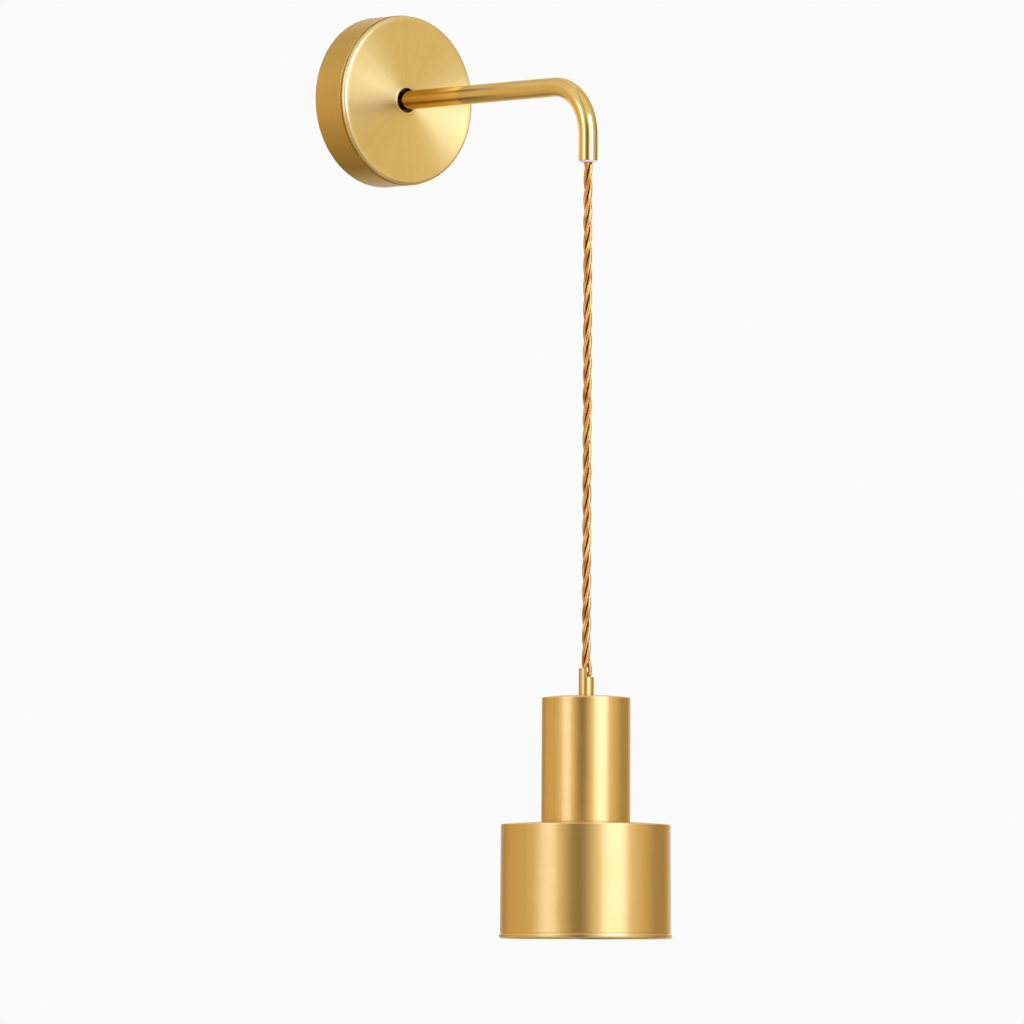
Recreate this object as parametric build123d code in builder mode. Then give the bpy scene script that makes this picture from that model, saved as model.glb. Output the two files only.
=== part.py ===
# A wall light: a round canopy, a bent arm, and a metal pendant shade that hangs
# from the arm's mouth on a twisted three-core textile cord.
# Frame: origin at the centre of the canopy's back, on the wall. +X to the right
# seen from the room, +Y into the wall, +Z up. Millimetres.
from build123d import *

import os
from math import cos, radians, sin

# ---------------------------------------------------------------- driving sizes
# Arm: a bent tube that carries the pendant clear of the wall.
arm_reach = 226.0  # wall to the axis that the pendant hangs on
arm_bend_radius = 36.0  # centreline of the bend
arm_drop = 54.0  # arm centreline down to the tube's mouth
tube_radius = 6.75
tube_wall = 1.2
mouth_rounding = 0.35

# Canopy: a drum with a separate lid in front of it.
band_radius = 61.0
sheet = 1.0  # spun brass sheet of every visible cover
band_depth = 26.6  # wall to the drum's front rim
seam = 1.1  # open line between the drum and the lid's rim
lid_radius = 60.5
lid_side = 1.4  # straight side of the lid's rim
lid_rounding = 2.5
lid_dish = 2.5  # the lid's face is hollowed towards the arm
lid_skirt = 11.0
lid_hole_radius = 8.75  # clears the tube, so that the cover slides off over the bend
lid_bevel = 0.7

# Back plate and the parts that it carries.
plate = 1.5
plate_radius = 58.4
slot_spacing = 84.0
slot_length = 12.0
slot_width = 4.6
tab_width = 12.0
tab_height = 12.0
tab_inset = 58.0  # outer face of each tab from the centre
band_screw_radius = 2.0
band_screw_length = 8.0
band_screw_height = 7.5  # from the wall
socket_depth = 1.2  # hexagon sockets of the grub screws
cable_hole_drop = 45.0  # below the centre
cable_radius = 5.0  # bore of the grommet for the supply cable
grommet_wall = 2.0
bracket_depth = 22.0  # wall to the bracket's front face
bracket_thickness = 1.5
bracket_width = 22.0
bracket_span = 36.0  # outside of the two legs
bracket_foot = 10.0
rivet_radius = 1.6
earth_place = (31.5, 24.0)  # X, Z of the earth screw
earth_head_height = 2.4
slot_depth = 1.0  # screwdriver slots
tag_thickness = 0.8
tag_radius = 4.5
tag_length = 12.0
tag_crimp = 4.0

# Threaded stub in the arm's inner end, with its washer, nut and cord anchor.
stub_thread_radius = 5.0
stub_bore_radius = 3.7
stub_shoulder = 2.0
stub_plug = 12.0
stub_thread_length = 7.5
washer_thickness = 0.8
nut_height = 4.2
nut_flats = 14.0
washer_rim = 1.2  # washer outside the nut's flats
washer_teeth = 12
anchor_radius = 6.5
anchor_length = 5.0
anchor_slit = 1.0
anchor_screw_radius = 1.25
anchor_screw_height = 4.7  # above the cord's axis
anchor_screw_length = 7.0
anchor_head_height = 1.6

# Cord: three twisted textile cores.
core_radius = 1.5
cord_radius = 3.23  # circle round three touching cores
cord_length = 362.2  # the free stretch, mouth to grip
lead_radius = 1.3  # one core without its outer braid
tail_radius = 1.1  # the same core where it is stripped for the lampholder
lead_bend = 2.4
tail_bend = 1.8
lead_fan = 5.5  # the cores spread this far above the terminal block
lead_turn = 9.0  # the upper core turns forward this far below the arm
lead_step = 1.5  # it joins the others this much lower
link_knee = 31.0  # turns of the earth link, below the canopy's centre
link_drop = 39.0
link_low = 41.0
link_side = 6.0  # each turn stands this far to the side of the next
link_rise = 3.5  # last straight run, up into the block
tail_rise = 2.4  # straight run of the tails below the rod

# Bush in the tube's mouth.
bush_proud = 1.2
bush_plug = 10.0
bush_flange_radius = 6.1
bush_bore_radius = 3.6
bush_flare = 1.5

# Terminal block inside the canopy.
block_size = (34.0, 14.0, 13.0)  # X, Z, Y
block_drop = 26.0  # its centre, below the canopy's centre
pole_pitch = 10.0
pole_height = 6.3  # wall to the axis of the poles
barrel_radius = 1.9
barrel_bore_radius = 1.0
clamp_pitch = 8.0
clamp_head_height = 2.5
block_screw_radius = 1.4
block_screw_head = 2.5
block_screw_head_height = 1.8
block_screw_seat = 5.0  # wall to the underside of the two heads
block_rounding = 1.0

# Grip on the lamp: holds the cord and stands on the cup.
grip_radius = 5.36
grip_height = 12.7
grip_thread_depth = 5.0
grip_tongue = 6.1
tongue_width = 7.3
tongue_thickness = 1.3
grip_chamfer = 0.4
grip_screw_radius = 1.5
grip_screw_drop = 4.0

# Cup: the slim upper cylinder.
cup_top_radius = 31.1
cup_bottom_radius = 31.3
cup_crown = 1.7
cup_seat_radius = 6.5
edge_rounding = 0.8
cup_height = 88.9

# Shade: the wide lower cylinder.
shade_top_radius = 59.6
shade_bottom_radius = 60.0
shade_crown = 2.5
shade_height = 80.1  # shoulder to the lip's lower edge
shade_hole_radius = 20.2
lip_radius = 60.6
lip_height = 3.4

# Hollow threaded rod between the grip and the lampholder.
rod_radius = 4.0
rod_bore_radius = 3.0
rod_end = 0.3  # the rod stands out of its last nut
cup_washer_thickness = 1.0
cup_washer_radius = 7.6
rod_nut_flats = 12.0
cup_nut_height = 3.5
cap_nut_height = 2.6

# Lampholder for a 27 mm screw lamp.
holder_radius = 17.5
holder_wall = 1.9
cap_boss_radius = 7.0
cap_boss_height = 3.0
cap_dome = 9.0
cap_height = 24.0
cap_floor = 3.5  # thread length below the boss
cap_floor_radius = 10.0
cap_dome_curve = 12.0
cap_ring_thickness = 0.8
cap_ring_tail = 10.0  # end of the ring's tail from the axis
cap_ring_tail_width = 3.4
skirt_radius = 19.75
skirt_wall = 2.3
skirt_length = 22.5  # below its seat on the shade
flange_radius = 22.0
flange_height = 5.0
insert_length = 22.0
insert_recess = 3.0
insert_recess_radius = 5.5
post_size = (4.4, 6.0, 5.0)  # X, Y, Z
post_reach = 8.0  # each post from the axis
post_screw_head = 1.6  # how far the clamp screws stand out
contact_thickness = 0.6
contact_width = 5.0
contact_reach = 3.8
contact_bow = 0.2  # below the insert's face, inside the shell's eye
shell_radius = 13.9
shell_wall = 0.5
shell_length = 24.5
shell_eye_radius = 7.0
ring_radius = 27.0
ring_rim = 2.5
ring_hub_radius = 22.6
ring_height = 8.0
ring_grooves = 24
ring_groove_radius = 0.7

# Clearances.
thread_fit = 0.02  # threads and screws in their holes
solder_fit = 0.05  # brazed and pushed joints
slip_fit = 0.15  # covers that slide over each other
screw_clear = 0.2  # a screw through a plain hole
cord_clear = 0.3  # the cord's bending point

# ------------------------------------------------------------- worked-out places
wall = Plane.XZ  # its normal points away from the wall, into the room
lamp_section = Plane((0, -arm_reach, 0), x_dir=(1, 0, 0), z_dir=(0, -1, 0))
drop_axis = Axis((0, -arm_reach, 0), (0, 0, 1))

bore_radius = tube_radius - tube_wall  # inside of the arm tube
lid_front = band_depth + seam + lid_side + lid_rounding
lid_crest_radius = lid_radius - lid_rounding
lid_skirt_radius = band_radius - sheet - slip_fit

bracket_inside = bracket_depth - bracket_thickness
tube_start = bracket_depth + stub_shoulder
nut_back = bracket_inside - washer_thickness - nut_height
stub_back = bracket_depth - stub_thread_length
anchor_back = stub_back - anchor_length

mouth_z = -arm_drop
pivot_z = mouth_z - bush_proud  # where the cord bends when the pendant swings
grip_z = pivot_z - cord_length  # top face of the grip
cup_z = grip_z - grip_height  # seat of the grip on the cup
cup_shoulder_z = cup_z - cup_crown
cup_bottom_z = cup_z - cup_height


def crown(height, radius, edge):
    """Height of a shallow domed top above its edge, at one radius."""
    return height * (1 - (radius / edge) ** 2)


shade_edge_radius = shade_top_radius - edge_rounding
cup_inside = cup_bottom_radius - sheet
shoulder_z = cup_bottom_z - crown(shade_crown, cup_inside, shade_edge_radius)
shade_z = shoulder_z - shade_height  # lower edge of the shade
seat_z = shoulder_z + crown(shade_crown, shade_hole_radius, shade_edge_radius)

insert_z = seat_z + flange_height
holder_top_z = insert_z + insert_length + cap_height
shell_bottom_z = insert_z - shell_length
cap_floor_z = holder_top_z - cap_boss_height - cap_floor
cap_nut_z = cap_floor_z - cap_ring_thickness - cap_nut_height
rod_top_z = cup_z + grip_thread_depth - solder_fit
rod_bottom_z = cap_nut_z - rod_end


def level(z):
    """A horizontal plane on the pendant's axis."""
    return Plane((0, -arm_reach, z))


def hex_nut(plane, flats, height, hole_radius):
    """A plain hexagon nut that stands on a plane."""
    with BuildPart() as nut:
        with BuildSketch(plane):
            RegularPolygon(flats / 2, 6, major_radius=False)
            Circle(hole_radius, mode=Mode.SUBTRACT)
        extrude(amount=height)
    return nut.part


def lead(points, bends, radius):
    """One insulated core: a tube along straight runs and tangent arcs."""
    with BuildPart() as wire:
        with BuildLine() as route:
            FilletPolyline(*points, radius=bends)
        with BuildSketch(Plane(points[0], z_dir=Vector(*points[1]) - Vector(*points[0]))):
            Circle(radius)
        sweep(path=route.wires()[0])
    return wire.part


os.makedirs("parts", exist_ok=True)

# ------------------------------------------------------------------ back of the canopy
# Pressed steel plate that is screwed to the wall. Two bent tabs hold the cover.
with BuildPart() as wall_plate:
    with BuildSketch(wall):
        Circle(plate_radius)
        with GridLocations(slot_spacing, 0, 2, 1):
            SlotOverall(slot_length, slot_width, mode=Mode.SUBTRACT)
        with Locations((0, -cable_hole_drop)):
            Circle(cable_radius + grommet_wall, mode=Mode.SUBTRACT)
        with Locations(earth_place):
            Circle(band_screw_radius + thread_fit, mode=Mode.SUBTRACT)
        with GridLocations(bracket_span + bracket_foot, bracket_width / 2, 2, 2):
            Circle(rivet_radius + thread_fit, mode=Mode.SUBTRACT)
        with Locations((-pole_pitch / 2, -block_drop), (pole_pitch / 2, -block_drop)):
            Circle(block_screw_radius + thread_fit, mode=Mode.SUBTRACT)
    extrude(amount=plate)
    with BuildSketch(wall.offset(plate)):
        with GridLocations(0, 2 * tab_inset - plate, 1, 2):
            Rectangle(tab_width, plate)
    extrude(amount=tab_height)
    with BuildSketch(Plane.XY.offset(-plate_radius)):
        with Locations((0, -band_screw_height)):
            Circle(band_screw_radius + thread_fit)
    extrude(amount=2 * plate_radius, mode=Mode.SUBTRACT)
wall_plate.part.label = "wall_plate"
export_step(wall_plate.part, "parts/wall_plate.step")

# Hat-section steel bracket, open above and below, that the arm is nutted to.
with BuildPart() as arm_bracket:
    with BuildSketch(Plane.XY.offset(-bracket_width / 2)):
        with BuildLine() as hat:
            half_span = bracket_span / 2
            FilletPolyline(
                (-half_span - bracket_foot, -plate),
                (-half_span + bracket_thickness, -plate),
                (-half_span + bracket_thickness, -bracket_inside),
                (half_span - bracket_thickness, -bracket_inside),
                (half_span - bracket_thickness, -plate),
                (half_span + bracket_foot, -plate),
                radius=bracket_thickness,
            )
            offset(amount=bracket_thickness, side=Side.RIGHT)
        make_face()
    extrude(amount=bracket_width)
    with BuildSketch(wall):
        Circle(stub_thread_radius + slip_fit)
        with GridLocations(bracket_span + bracket_foot, bracket_width / 2, 2, 2):
            Circle(rivet_radius + thread_fit)
    extrude(amount=bracket_depth + plate, mode=Mode.SUBTRACT)
arm_bracket.part.label = "arm_bracket"
export_step(arm_bracket.part, "parts/arm_bracket.step")

# Four rivets through the bracket's feet.
with BuildPart() as bracket_rivets:
    with BuildSketch(wall):
        with GridLocations(bracket_span + bracket_foot, bracket_width / 2, 2, 2):
            Circle(rivet_radius)
    extrude(amount=plate + bracket_thickness)
    with BuildSketch(wall.offset(plate + bracket_thickness)):
        with GridLocations(bracket_span + bracket_foot, bracket_width / 2, 2, 2):
            Circle(rivet_radius * 1.8)
    extrude(amount=rivet_radius / 2, taper=30)
bracket_rivets.part.label = "bracket_rivets"
export_step(bracket_rivets.part, "parts/bracket_rivets.step")

# Drum of the canopy: a spun ring with an eased front rim and two screw holes.
with BuildPart() as canopy_band:
    with BuildSketch(wall):
        Circle(band_radius)
        Circle(band_radius - sheet, mode=Mode.SUBTRACT)
    extrude(amount=band_depth)
    fillet(canopy_band.edges().group_by(Axis.Y)[0], sheet * 0.42)
    with BuildSketch(Plane.XY.offset(-band_radius)):
        with Locations((0, -band_screw_height)):
            Circle(band_screw_radius + screw_clear)
    extrude(amount=2 * band_radius, mode=Mode.SUBTRACT)
canopy_band.part.label = "canopy_band"
export_step(canopy_band.part, "parts/canopy_band.step")

# Lid: one spun sheet with a bevelled eye, a dished face, a rolled edge, a straight
# side, and a joggled skirt that is pushed into the drum.
with BuildPart() as canopy_lid:
    with BuildSketch(Plane.XY):
        with BuildLine():
            face_at_eye = lid_front - crown(lid_dish, lid_hole_radius + lid_bevel, lid_crest_radius)
            face_midway = lid_front - crown(lid_dish, lid_crest_radius / 2, lid_crest_radius)
            side_back = band_depth + seam
            corner = lid_rounding * (1 - cos(radians(45)))
            eye = Polyline(
                (lid_hole_radius, -face_at_eye + sheet),
                (lid_hole_radius, -face_at_eye + lid_bevel * 0.8),
                (lid_hole_radius + lid_bevel, -face_at_eye),
            )
            face = ThreePointArc(
                eye @ 1,
                (lid_crest_radius / 2, -face_midway),
                (lid_crest_radius, -lid_front),
            )
            rolled = ThreePointArc(
                face @ 1,
                (lid_radius - corner, -lid_front + corner),
                (lid_radius, -lid_front + lid_rounding),
            )
            skirt = Polyline(
                rolled @ 1,
                (lid_radius, -side_back),
                (lid_skirt_radius, -side_back),
                (lid_skirt_radius, -side_back + lid_skirt),
                (lid_skirt_radius - sheet, -side_back + lid_skirt),
                (lid_skirt_radius - sheet, -lid_front + lid_rounding),
                (lid_crest_radius, -lid_front + sheet),
            )
            ThreePointArc(
                skirt @ 1,
                (lid_crest_radius / 2, -face_midway + sheet),
                eye @ 0,
            )
        make_face()
    revolve(axis=Axis.Y)
canopy_lid.part.label = "canopy_lid"
export_step(canopy_lid.part, "parts/canopy_lid.step")

# Two grub screws in the tabs. Their outer ends stand in the drum's holes, flush.
with BuildPart() as band_screws:
    for side in (1, -1):
        screw_plane = Plane(
            (0, -band_screw_height, side * (band_radius - sheet / 2)),
            x_dir=(1, 0, 0),
            z_dir=(0, 0, -side),
        )
        with BuildSketch(screw_plane):
            Circle(band_screw_radius)
        extrude(amount=band_screw_length)
        with BuildSketch(screw_plane):
            RegularPolygon(band_screw_radius / 2, 6)
        extrude(amount=socket_depth, mode=Mode.SUBTRACT)
band_screws.part.label = "band_screws"
export_step(band_screws.part, "parts/band_screws.step")

# Rubber grommet round the supply cable's hole, flush with the wall behind.
with BuildPart() as cable_grommet:
    with BuildSketch(wall):
        with Locations((0, -cable_hole_drop)):
            Circle(cable_radius + grommet_wall - thread_fit)
            Circle(cable_radius, mode=Mode.SUBTRACT)
    extrude(amount=plate + grommet_wall)
    with BuildSketch(wall.offset(plate)):
        with Locations((0, -cable_hole_drop)):
            Circle(cable_radius + 2 * grommet_wall)
            Circle(cable_radius, mode=Mode.SUBTRACT)
    extrude(amount=grommet_wall)
cable_grommet.part.label = "cable_grommet"
export_step(cable_grommet.part, "parts/cable_grommet.step")

# ------------------------------------------------------------------ terminal block
block_x, block_z, block_y = block_size
block_top = -block_drop + block_z / 2
block_bottom = -block_drop - block_z / 2
pole_places = [(n * pole_pitch, -block_drop) for n in (-1, 0, 1)]
clamp_steps = (-clamp_pitch / 2, clamp_pitch / 2)
clamp_places = [(x, z + step) for x, z in pole_places for step in clamp_steps]
block_screw_places = [(-pole_pitch / 2, -block_drop), (pole_pitch / 2, -block_drop)]

# Moulded three-pole body with a bore and two screw wells for each pole.
with BuildPart() as terminal_block:
    with BuildSketch(wall.offset(plate)):
        with Locations((0, -block_drop)):
            Rectangle(block_x, block_z)
    extrude(amount=block_y)
    fillet(terminal_block.edges().filter_by(Axis.Y), block_rounding)
    with BuildSketch(Plane.XY.offset(block_top)):
        with Locations([(x, -pole_height) for x, z in pole_places]):
            Circle(barrel_radius + thread_fit)
    extrude(amount=-block_z, mode=Mode.SUBTRACT)
    with BuildSketch(wall.offset(pole_height)):
        with Locations(clamp_places):
            Circle(barrel_radius)
    extrude(amount=block_y, mode=Mode.SUBTRACT)
    with BuildSketch(wall):
        with Locations(block_screw_places):
            Circle(block_screw_radius + screw_clear)
    extrude(amount=plate + block_y, mode=Mode.SUBTRACT)
    with BuildSketch(wall.offset(block_screw_seat)):
        with Locations(block_screw_places):
            Circle(block_screw_head + screw_clear)
    extrude(amount=plate + block_y, mode=Mode.SUBTRACT)
terminal_block.part.label = "terminal_block"
export_step(terminal_block.part, "parts/terminal_block.step")

# Three brass barrels, drilled for the conductors and for their clamp screws.
with BuildPart() as terminal_barrels:
    with BuildSketch(Plane.XY.offset(block_top)):
        with Locations([(x, -pole_height) for x, z in pole_places]):
            Circle(barrel_radius)
            Circle(barrel_bore_radius, mode=Mode.SUBTRACT)
    extrude(amount=-block_z)
    with BuildSketch(wall.offset(pole_height)):
        with Locations(clamp_places):
            Circle(barrel_bore_radius)
    extrude(amount=barrel_radius, mode=Mode.SUBTRACT)
terminal_barrels.part.label = "terminal_barrels"
export_step(terminal_barrels.part, "parts/terminal_barrels.step")

# Six slotted clamp screws.
with BuildPart() as terminal_screws:
    with BuildSketch(wall.offset(pole_height)):
        with Locations(clamp_places):
            Circle(barrel_bore_radius - thread_fit)
    extrude(amount=barrel_radius + clamp_head_height / 2)
    clamp_head_seat = pole_height + barrel_radius + thread_fit
    with BuildSketch(wall.offset(clamp_head_seat)):
        with Locations(clamp_places):
            Circle(barrel_radius - screw_clear)
    extrude(amount=clamp_head_height)
    with BuildSketch(wall.offset(clamp_head_seat + clamp_head_height - slot_depth)):
        with Locations(clamp_places):
            Rectangle(2 * barrel_radius, slot_depth / 2)
    extrude(amount=clamp_head_height, mode=Mode.SUBTRACT)
terminal_screws.part.label = "terminal_screws"
export_step(terminal_screws.part, "parts/terminal_screws.step")

# Two cheese-head screws hold the block to the plate.
with BuildPart() as block_screws:
    with BuildSketch(wall):
        with Locations(block_screw_places):
            Circle(block_screw_radius)
    extrude(amount=block_screw_seat)
    with BuildSketch(wall.offset(block_screw_seat)):
        with Locations(block_screw_places):
            Circle(block_screw_head)
    extrude(amount=block_screw_head_height)
    with BuildSketch(wall.offset(block_screw_seat + block_screw_head_height - slot_depth)):
        with Locations(block_screw_places):
            Rectangle(2 * block_screw_head, slot_depth / 2)
    extrude(amount=block_screw_head_height, mode=Mode.SUBTRACT)
block_screws.part.label = "block_screws"
export_step(block_screws.part, "parts/block_screws.step")

# Earth screw in the plate, and the ring tag under its head.
with BuildPart() as earth_screw:
    with BuildSketch(wall):
        with Locations(earth_place):
            Circle(band_screw_radius)
    extrude(amount=plate + tag_thickness)
    with BuildSketch(wall.offset(plate + tag_thickness)):
        with Locations(earth_place):
            Circle(band_screw_radius * 2)
    extrude(amount=earth_head_height)
    with BuildSketch(wall.offset(plate + tag_thickness + earth_head_height - slot_depth)):
        with Locations(earth_place):
            Rectangle(band_screw_radius * 4, slot_depth)
    extrude(amount=earth_head_height, mode=Mode.SUBTRACT)
earth_screw.part.label = "earth_screw"
export_step(earth_screw.part, "parts/earth_screw.step")

link_height = plate + lead_radius  # the earth link lies on the plate
tag_end_z = earth_place[1] - tag_length
with BuildPart() as earth_tag:
    with BuildSketch(wall.offset(plate)):
        with Locations(earth_place):
            Circle(tag_radius)
        with Locations((earth_place[0], earth_place[1] - tag_length / 2)):
            Rectangle(2 * lead_radius, tag_length)
        with Locations(earth_place):
            Circle(band_screw_radius + thread_fit, mode=Mode.SUBTRACT)
    extrude(amount=tag_thickness)
    with BuildSketch(Plane.XY.offset(tag_end_z)):
        with Locations((earth_place[0], -link_height)):
            Rectangle(2 * lead_radius, 2 * lead_radius)
    extrude(amount=tag_crimp)
earth_tag.part.label = "earth_tag"
export_step(earth_tag.part, "parts/earth_tag.step")

# ------------------------------------------------------------------ arm
# Bent tube: a level run, one bend, and a short drop to the mouth.
with BuildPart() as arm_tube:
    with BuildLine(Plane.YZ) as arm_route:
        FilletPolyline(
            (-tube_start, 0),
            (-arm_reach, 0),
            (-arm_reach, -arm_drop),
            radius=arm_bend_radius,
        )
    with BuildSketch(wall.offset(tube_start)):
        Circle(tube_radius)
        Circle(bore_radius, mode=Mode.SUBTRACT)
    sweep(path=arm_route.wires()[0])
    fillet(arm_tube.edges().group_by(Axis.Z)[0], mouth_rounding)
arm_tube.part.label = "arm_tube"
export_step(arm_tube.part, "parts/arm_tube.step")

# Turned stub brazed into the tube: its shoulder sits on the bracket, and its hollow
# thread goes through.
with BuildPart() as arm_stub:
    with BuildSketch(Plane.XY):
        with BuildLine():
            Polyline(
                (stub_bore_radius, -stub_back),
                (stub_thread_radius, -stub_back),
                (stub_thread_radius, -bracket_depth),
                (tube_radius, -bracket_depth),
                (tube_radius, -tube_start),
                (bore_radius - solder_fit, -tube_start),
                (bore_radius - solder_fit, -tube_start - stub_plug),
                (stub_bore_radius, -tube_start - stub_plug),
                close=True,
            )
        make_face()
    revolve(axis=Axis.Y)
    chamfer(arm_stub.edges().group_by(Axis.Y)[-1], 0.4)
arm_stub.part.label = "arm_stub"
export_step(arm_stub.part, "parts/arm_stub.step")

# Toothed lock washer and hexagon nut behind the bracket's front.
with BuildPart() as arm_washer:
    with BuildSketch(wall.offset(bracket_inside - washer_thickness)):
        Circle(nut_flats / 2 + washer_rim)
        Circle(stub_thread_radius + slip_fit, mode=Mode.SUBTRACT)
        with PolarLocations(nut_flats / 2 + washer_rim, washer_teeth):
            Rectangle(1.5 * washer_rim, 1.2 * washer_rim, mode=Mode.SUBTRACT)
    extrude(amount=washer_thickness)
arm_washer.part.label = "arm_washer"
export_step(arm_washer.part, "parts/arm_washer.step")

arm_nut = hex_nut(wall.offset(nut_back), nut_flats, nut_height, stub_thread_radius + thread_fit)
arm_nut.label = "arm_nut"
export_step(arm_nut, "parts/arm_nut.step")

# Split nylon collar that clamps the cord behind the stub, so that the pendant's
# weight hangs on the arm and not on the terminals.
anchor_screw_place = (-(anchor_back + anchor_length / 2), anchor_screw_height)
anchor_head_seat = anchor_radius / 2
with BuildPart() as cord_anchor:
    with BuildSketch(wall.offset(anchor_back)):
        Circle(anchor_radius)
        Circle(cord_radius + thread_fit, mode=Mode.SUBTRACT)
        with Locations((0, anchor_radius)):
            Rectangle(anchor_slit, 2 * anchor_radius, mode=Mode.SUBTRACT)
    extrude(amount=anchor_length)
    with BuildSketch(Plane.YZ.offset(-anchor_radius)):
        with Locations(anchor_screw_place):
            Circle(anchor_screw_radius + thread_fit)
    extrude(amount=2 * anchor_radius, mode=Mode.SUBTRACT)
    with BuildSketch(Plane.YZ.offset(anchor_head_seat)):
        with Locations(anchor_screw_place):
            Circle(anchor_screw_radius * 2)
    extrude(amount=anchor_radius, mode=Mode.SUBTRACT)
cord_anchor.part.label = "cord_anchor"
export_step(cord_anchor.part, "parts/cord_anchor.step")

with BuildPart() as anchor_screw:
    with BuildSketch(Plane.YZ.offset(anchor_head_seat)):
        with Locations(anchor_screw_place):
            Circle(anchor_screw_radius)
    extrude(amount=-anchor_screw_length)
    with BuildSketch(Plane.YZ.offset(anchor_head_seat)):
        with Locations(anchor_screw_place):
            Circle(anchor_screw_radius * 1.8)
    extrude(amount=anchor_head_height)
anchor_screw.part.label = "anchor_screw"
export_step(anchor_screw.part, "parts/anchor_screw.step")

# White nylon bush in the mouth: a plug, a domed end, and a flared bore that the cord
# bends over.
with BuildPart() as mouth_bush:
    with BuildSketch(lamp_section):
        with BuildLine():
            Polyline(
                (bush_bore_radius, mouth_z + bush_plug),
                (bore_radius - solder_fit, mouth_z + bush_plug),
                (bore_radius - solder_fit, mouth_z),
                (bush_flange_radius, mouth_z),
                (bush_flange_radius, pivot_z),
                (bush_bore_radius, pivot_z),
                close=True,
            )
        make_face()
    revolve(axis=drop_axis)
    lower_rims = mouth_bush.edges().group_by(Axis.Z)[0].sort_by(SortBy.RADIUS)
    fillet(lower_rims[-1], bush_proud * 0.6)
    fillet(lower_rims[0], bush_flare)
mouth_bush.part.label = "mouth_bush"
export_step(mouth_bush.part, "parts/mouth_bush.step")

# ------------------------------------------------------------------ cord
# Inside the arm the cord follows the tube's centreline, from the anchor to the mouth.
neck_radius = cord_radius - thread_fit
with BuildPart() as cord_in_arm:
    with BuildLine(Plane.YZ) as cord_route:
        FilletPolyline(
            (-anchor_back, 0),
            (-arm_reach, 0),
            (-arm_reach, pivot_z + neck_radius + cord_clear),
            radius=arm_bend_radius,
        )
    with BuildSketch(wall.offset(anchor_back)):
        Circle(cord_radius)
    sweep(path=cord_route.wires()[0])
cord_in_arm.part.label = "cord_in_arm"
export_step(cord_in_arm.part, "parts/cord_in_arm.step")

# Bending point of the cord in the bush's mouth.
with BuildPart() as cord_neck:
    with BuildSketch(lamp_section):
        with BuildLine():
            CenterArc((0, pivot_z), neck_radius, -90, 180)
            Line((0, pivot_z + neck_radius), (0, pivot_z - neck_radius))
        make_face()
    revolve(axis=drop_axis)
cord_neck.part.label = "cord_neck"
export_step(cord_neck.part, "parts/cord_neck.step")

# The free stretch, pulled straight by the lamp.
with BuildPart() as cord_drop:
    with BuildSketch(level(grip_z)):
        Circle(cord_radius)
    extrude(amount=cord_length - neck_radius - cord_clear)
cord_drop.part.label = "cord_drop"
export_step(cord_drop.part, "parts/cord_drop.step")

# Inside the lamp the cord goes through the grip and, squeezed, through the rod.
with BuildPart() as cord_tail:
    with BuildSketch(level(grip_z)):
        Circle(cord_radius)
    extrude(amount=rod_top_z - grip_z)
    with BuildSketch(level(rod_top_z)):
        Circle(rod_bore_radius - solder_fit)
    extrude(amount=rod_bottom_z - rod_top_z)
cord_tail.part.label = "cord_tail"
export_step(cord_tail.part, "parts/cord_tail.step")

# Three cores run from the anchor down to the block. The upper one passes behind the
# other two.
core_ring = cord_radius - core_radius  # circle that the cores' centres lie on
lead_back_y = -plate - lead_radius - 0.5  # the upper core turns here, next to the plate
lead_fan_z = block_top + lead_fan
lower_x = core_ring * sin(radians(60))
lower_z = -core_ring * cos(radians(60))
lead_routes = {
    "lead_live": (-lower_x, -pole_pitch),
    "lead_neutral": (lower_x, pole_pitch),
}
for name, (start_x, pole_x) in lead_routes.items():
    points = [
        (start_x, -anchor_back, lower_z),
        (start_x, -pole_height, lower_z),
        (pole_x, -pole_height, lead_fan_z),
        (pole_x, -pole_height, block_top),
    ]
    wire = lead(points, lead_bend, lead_radius)
    wire.label = name
    export_step(wire, f"parts/{name}.step")

lead_earth = lead(
    [
        (0, -anchor_back, core_ring),
        (0, lead_back_y, core_ring),
        (0, lead_back_y, -lead_turn),
        (0, -pole_height, lead_fan_z - lead_step),
        (0, -pole_height, block_top),
    ],
    [lead_bend, lead_bend, tail_bend],
    lead_radius,
)
lead_earth.label = "lead_earth"
export_step(lead_earth, "parts/lead_earth.step")

# The earth pole is joined to the plate's earth screw by a short link.
earth_link = lead(
    [
        (earth_place[0], -link_height, tag_end_z),
        (earth_place[0], -link_height, -link_knee),
        (earth_place[0] - link_side, -link_height, -link_drop),
        (pole_pitch + link_side * 2 / 3, -pole_height, -link_low),
        (pole_pitch, -pole_height, block_bottom - link_rise),
        (pole_pitch, -pole_height, block_bottom),
    ],
    [5.0, 5.0, 2.2, 2.0],
    lead_radius,
)
earth_link.label = "earth_link"
export_step(earth_link, "parts/earth_link.step")

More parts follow.
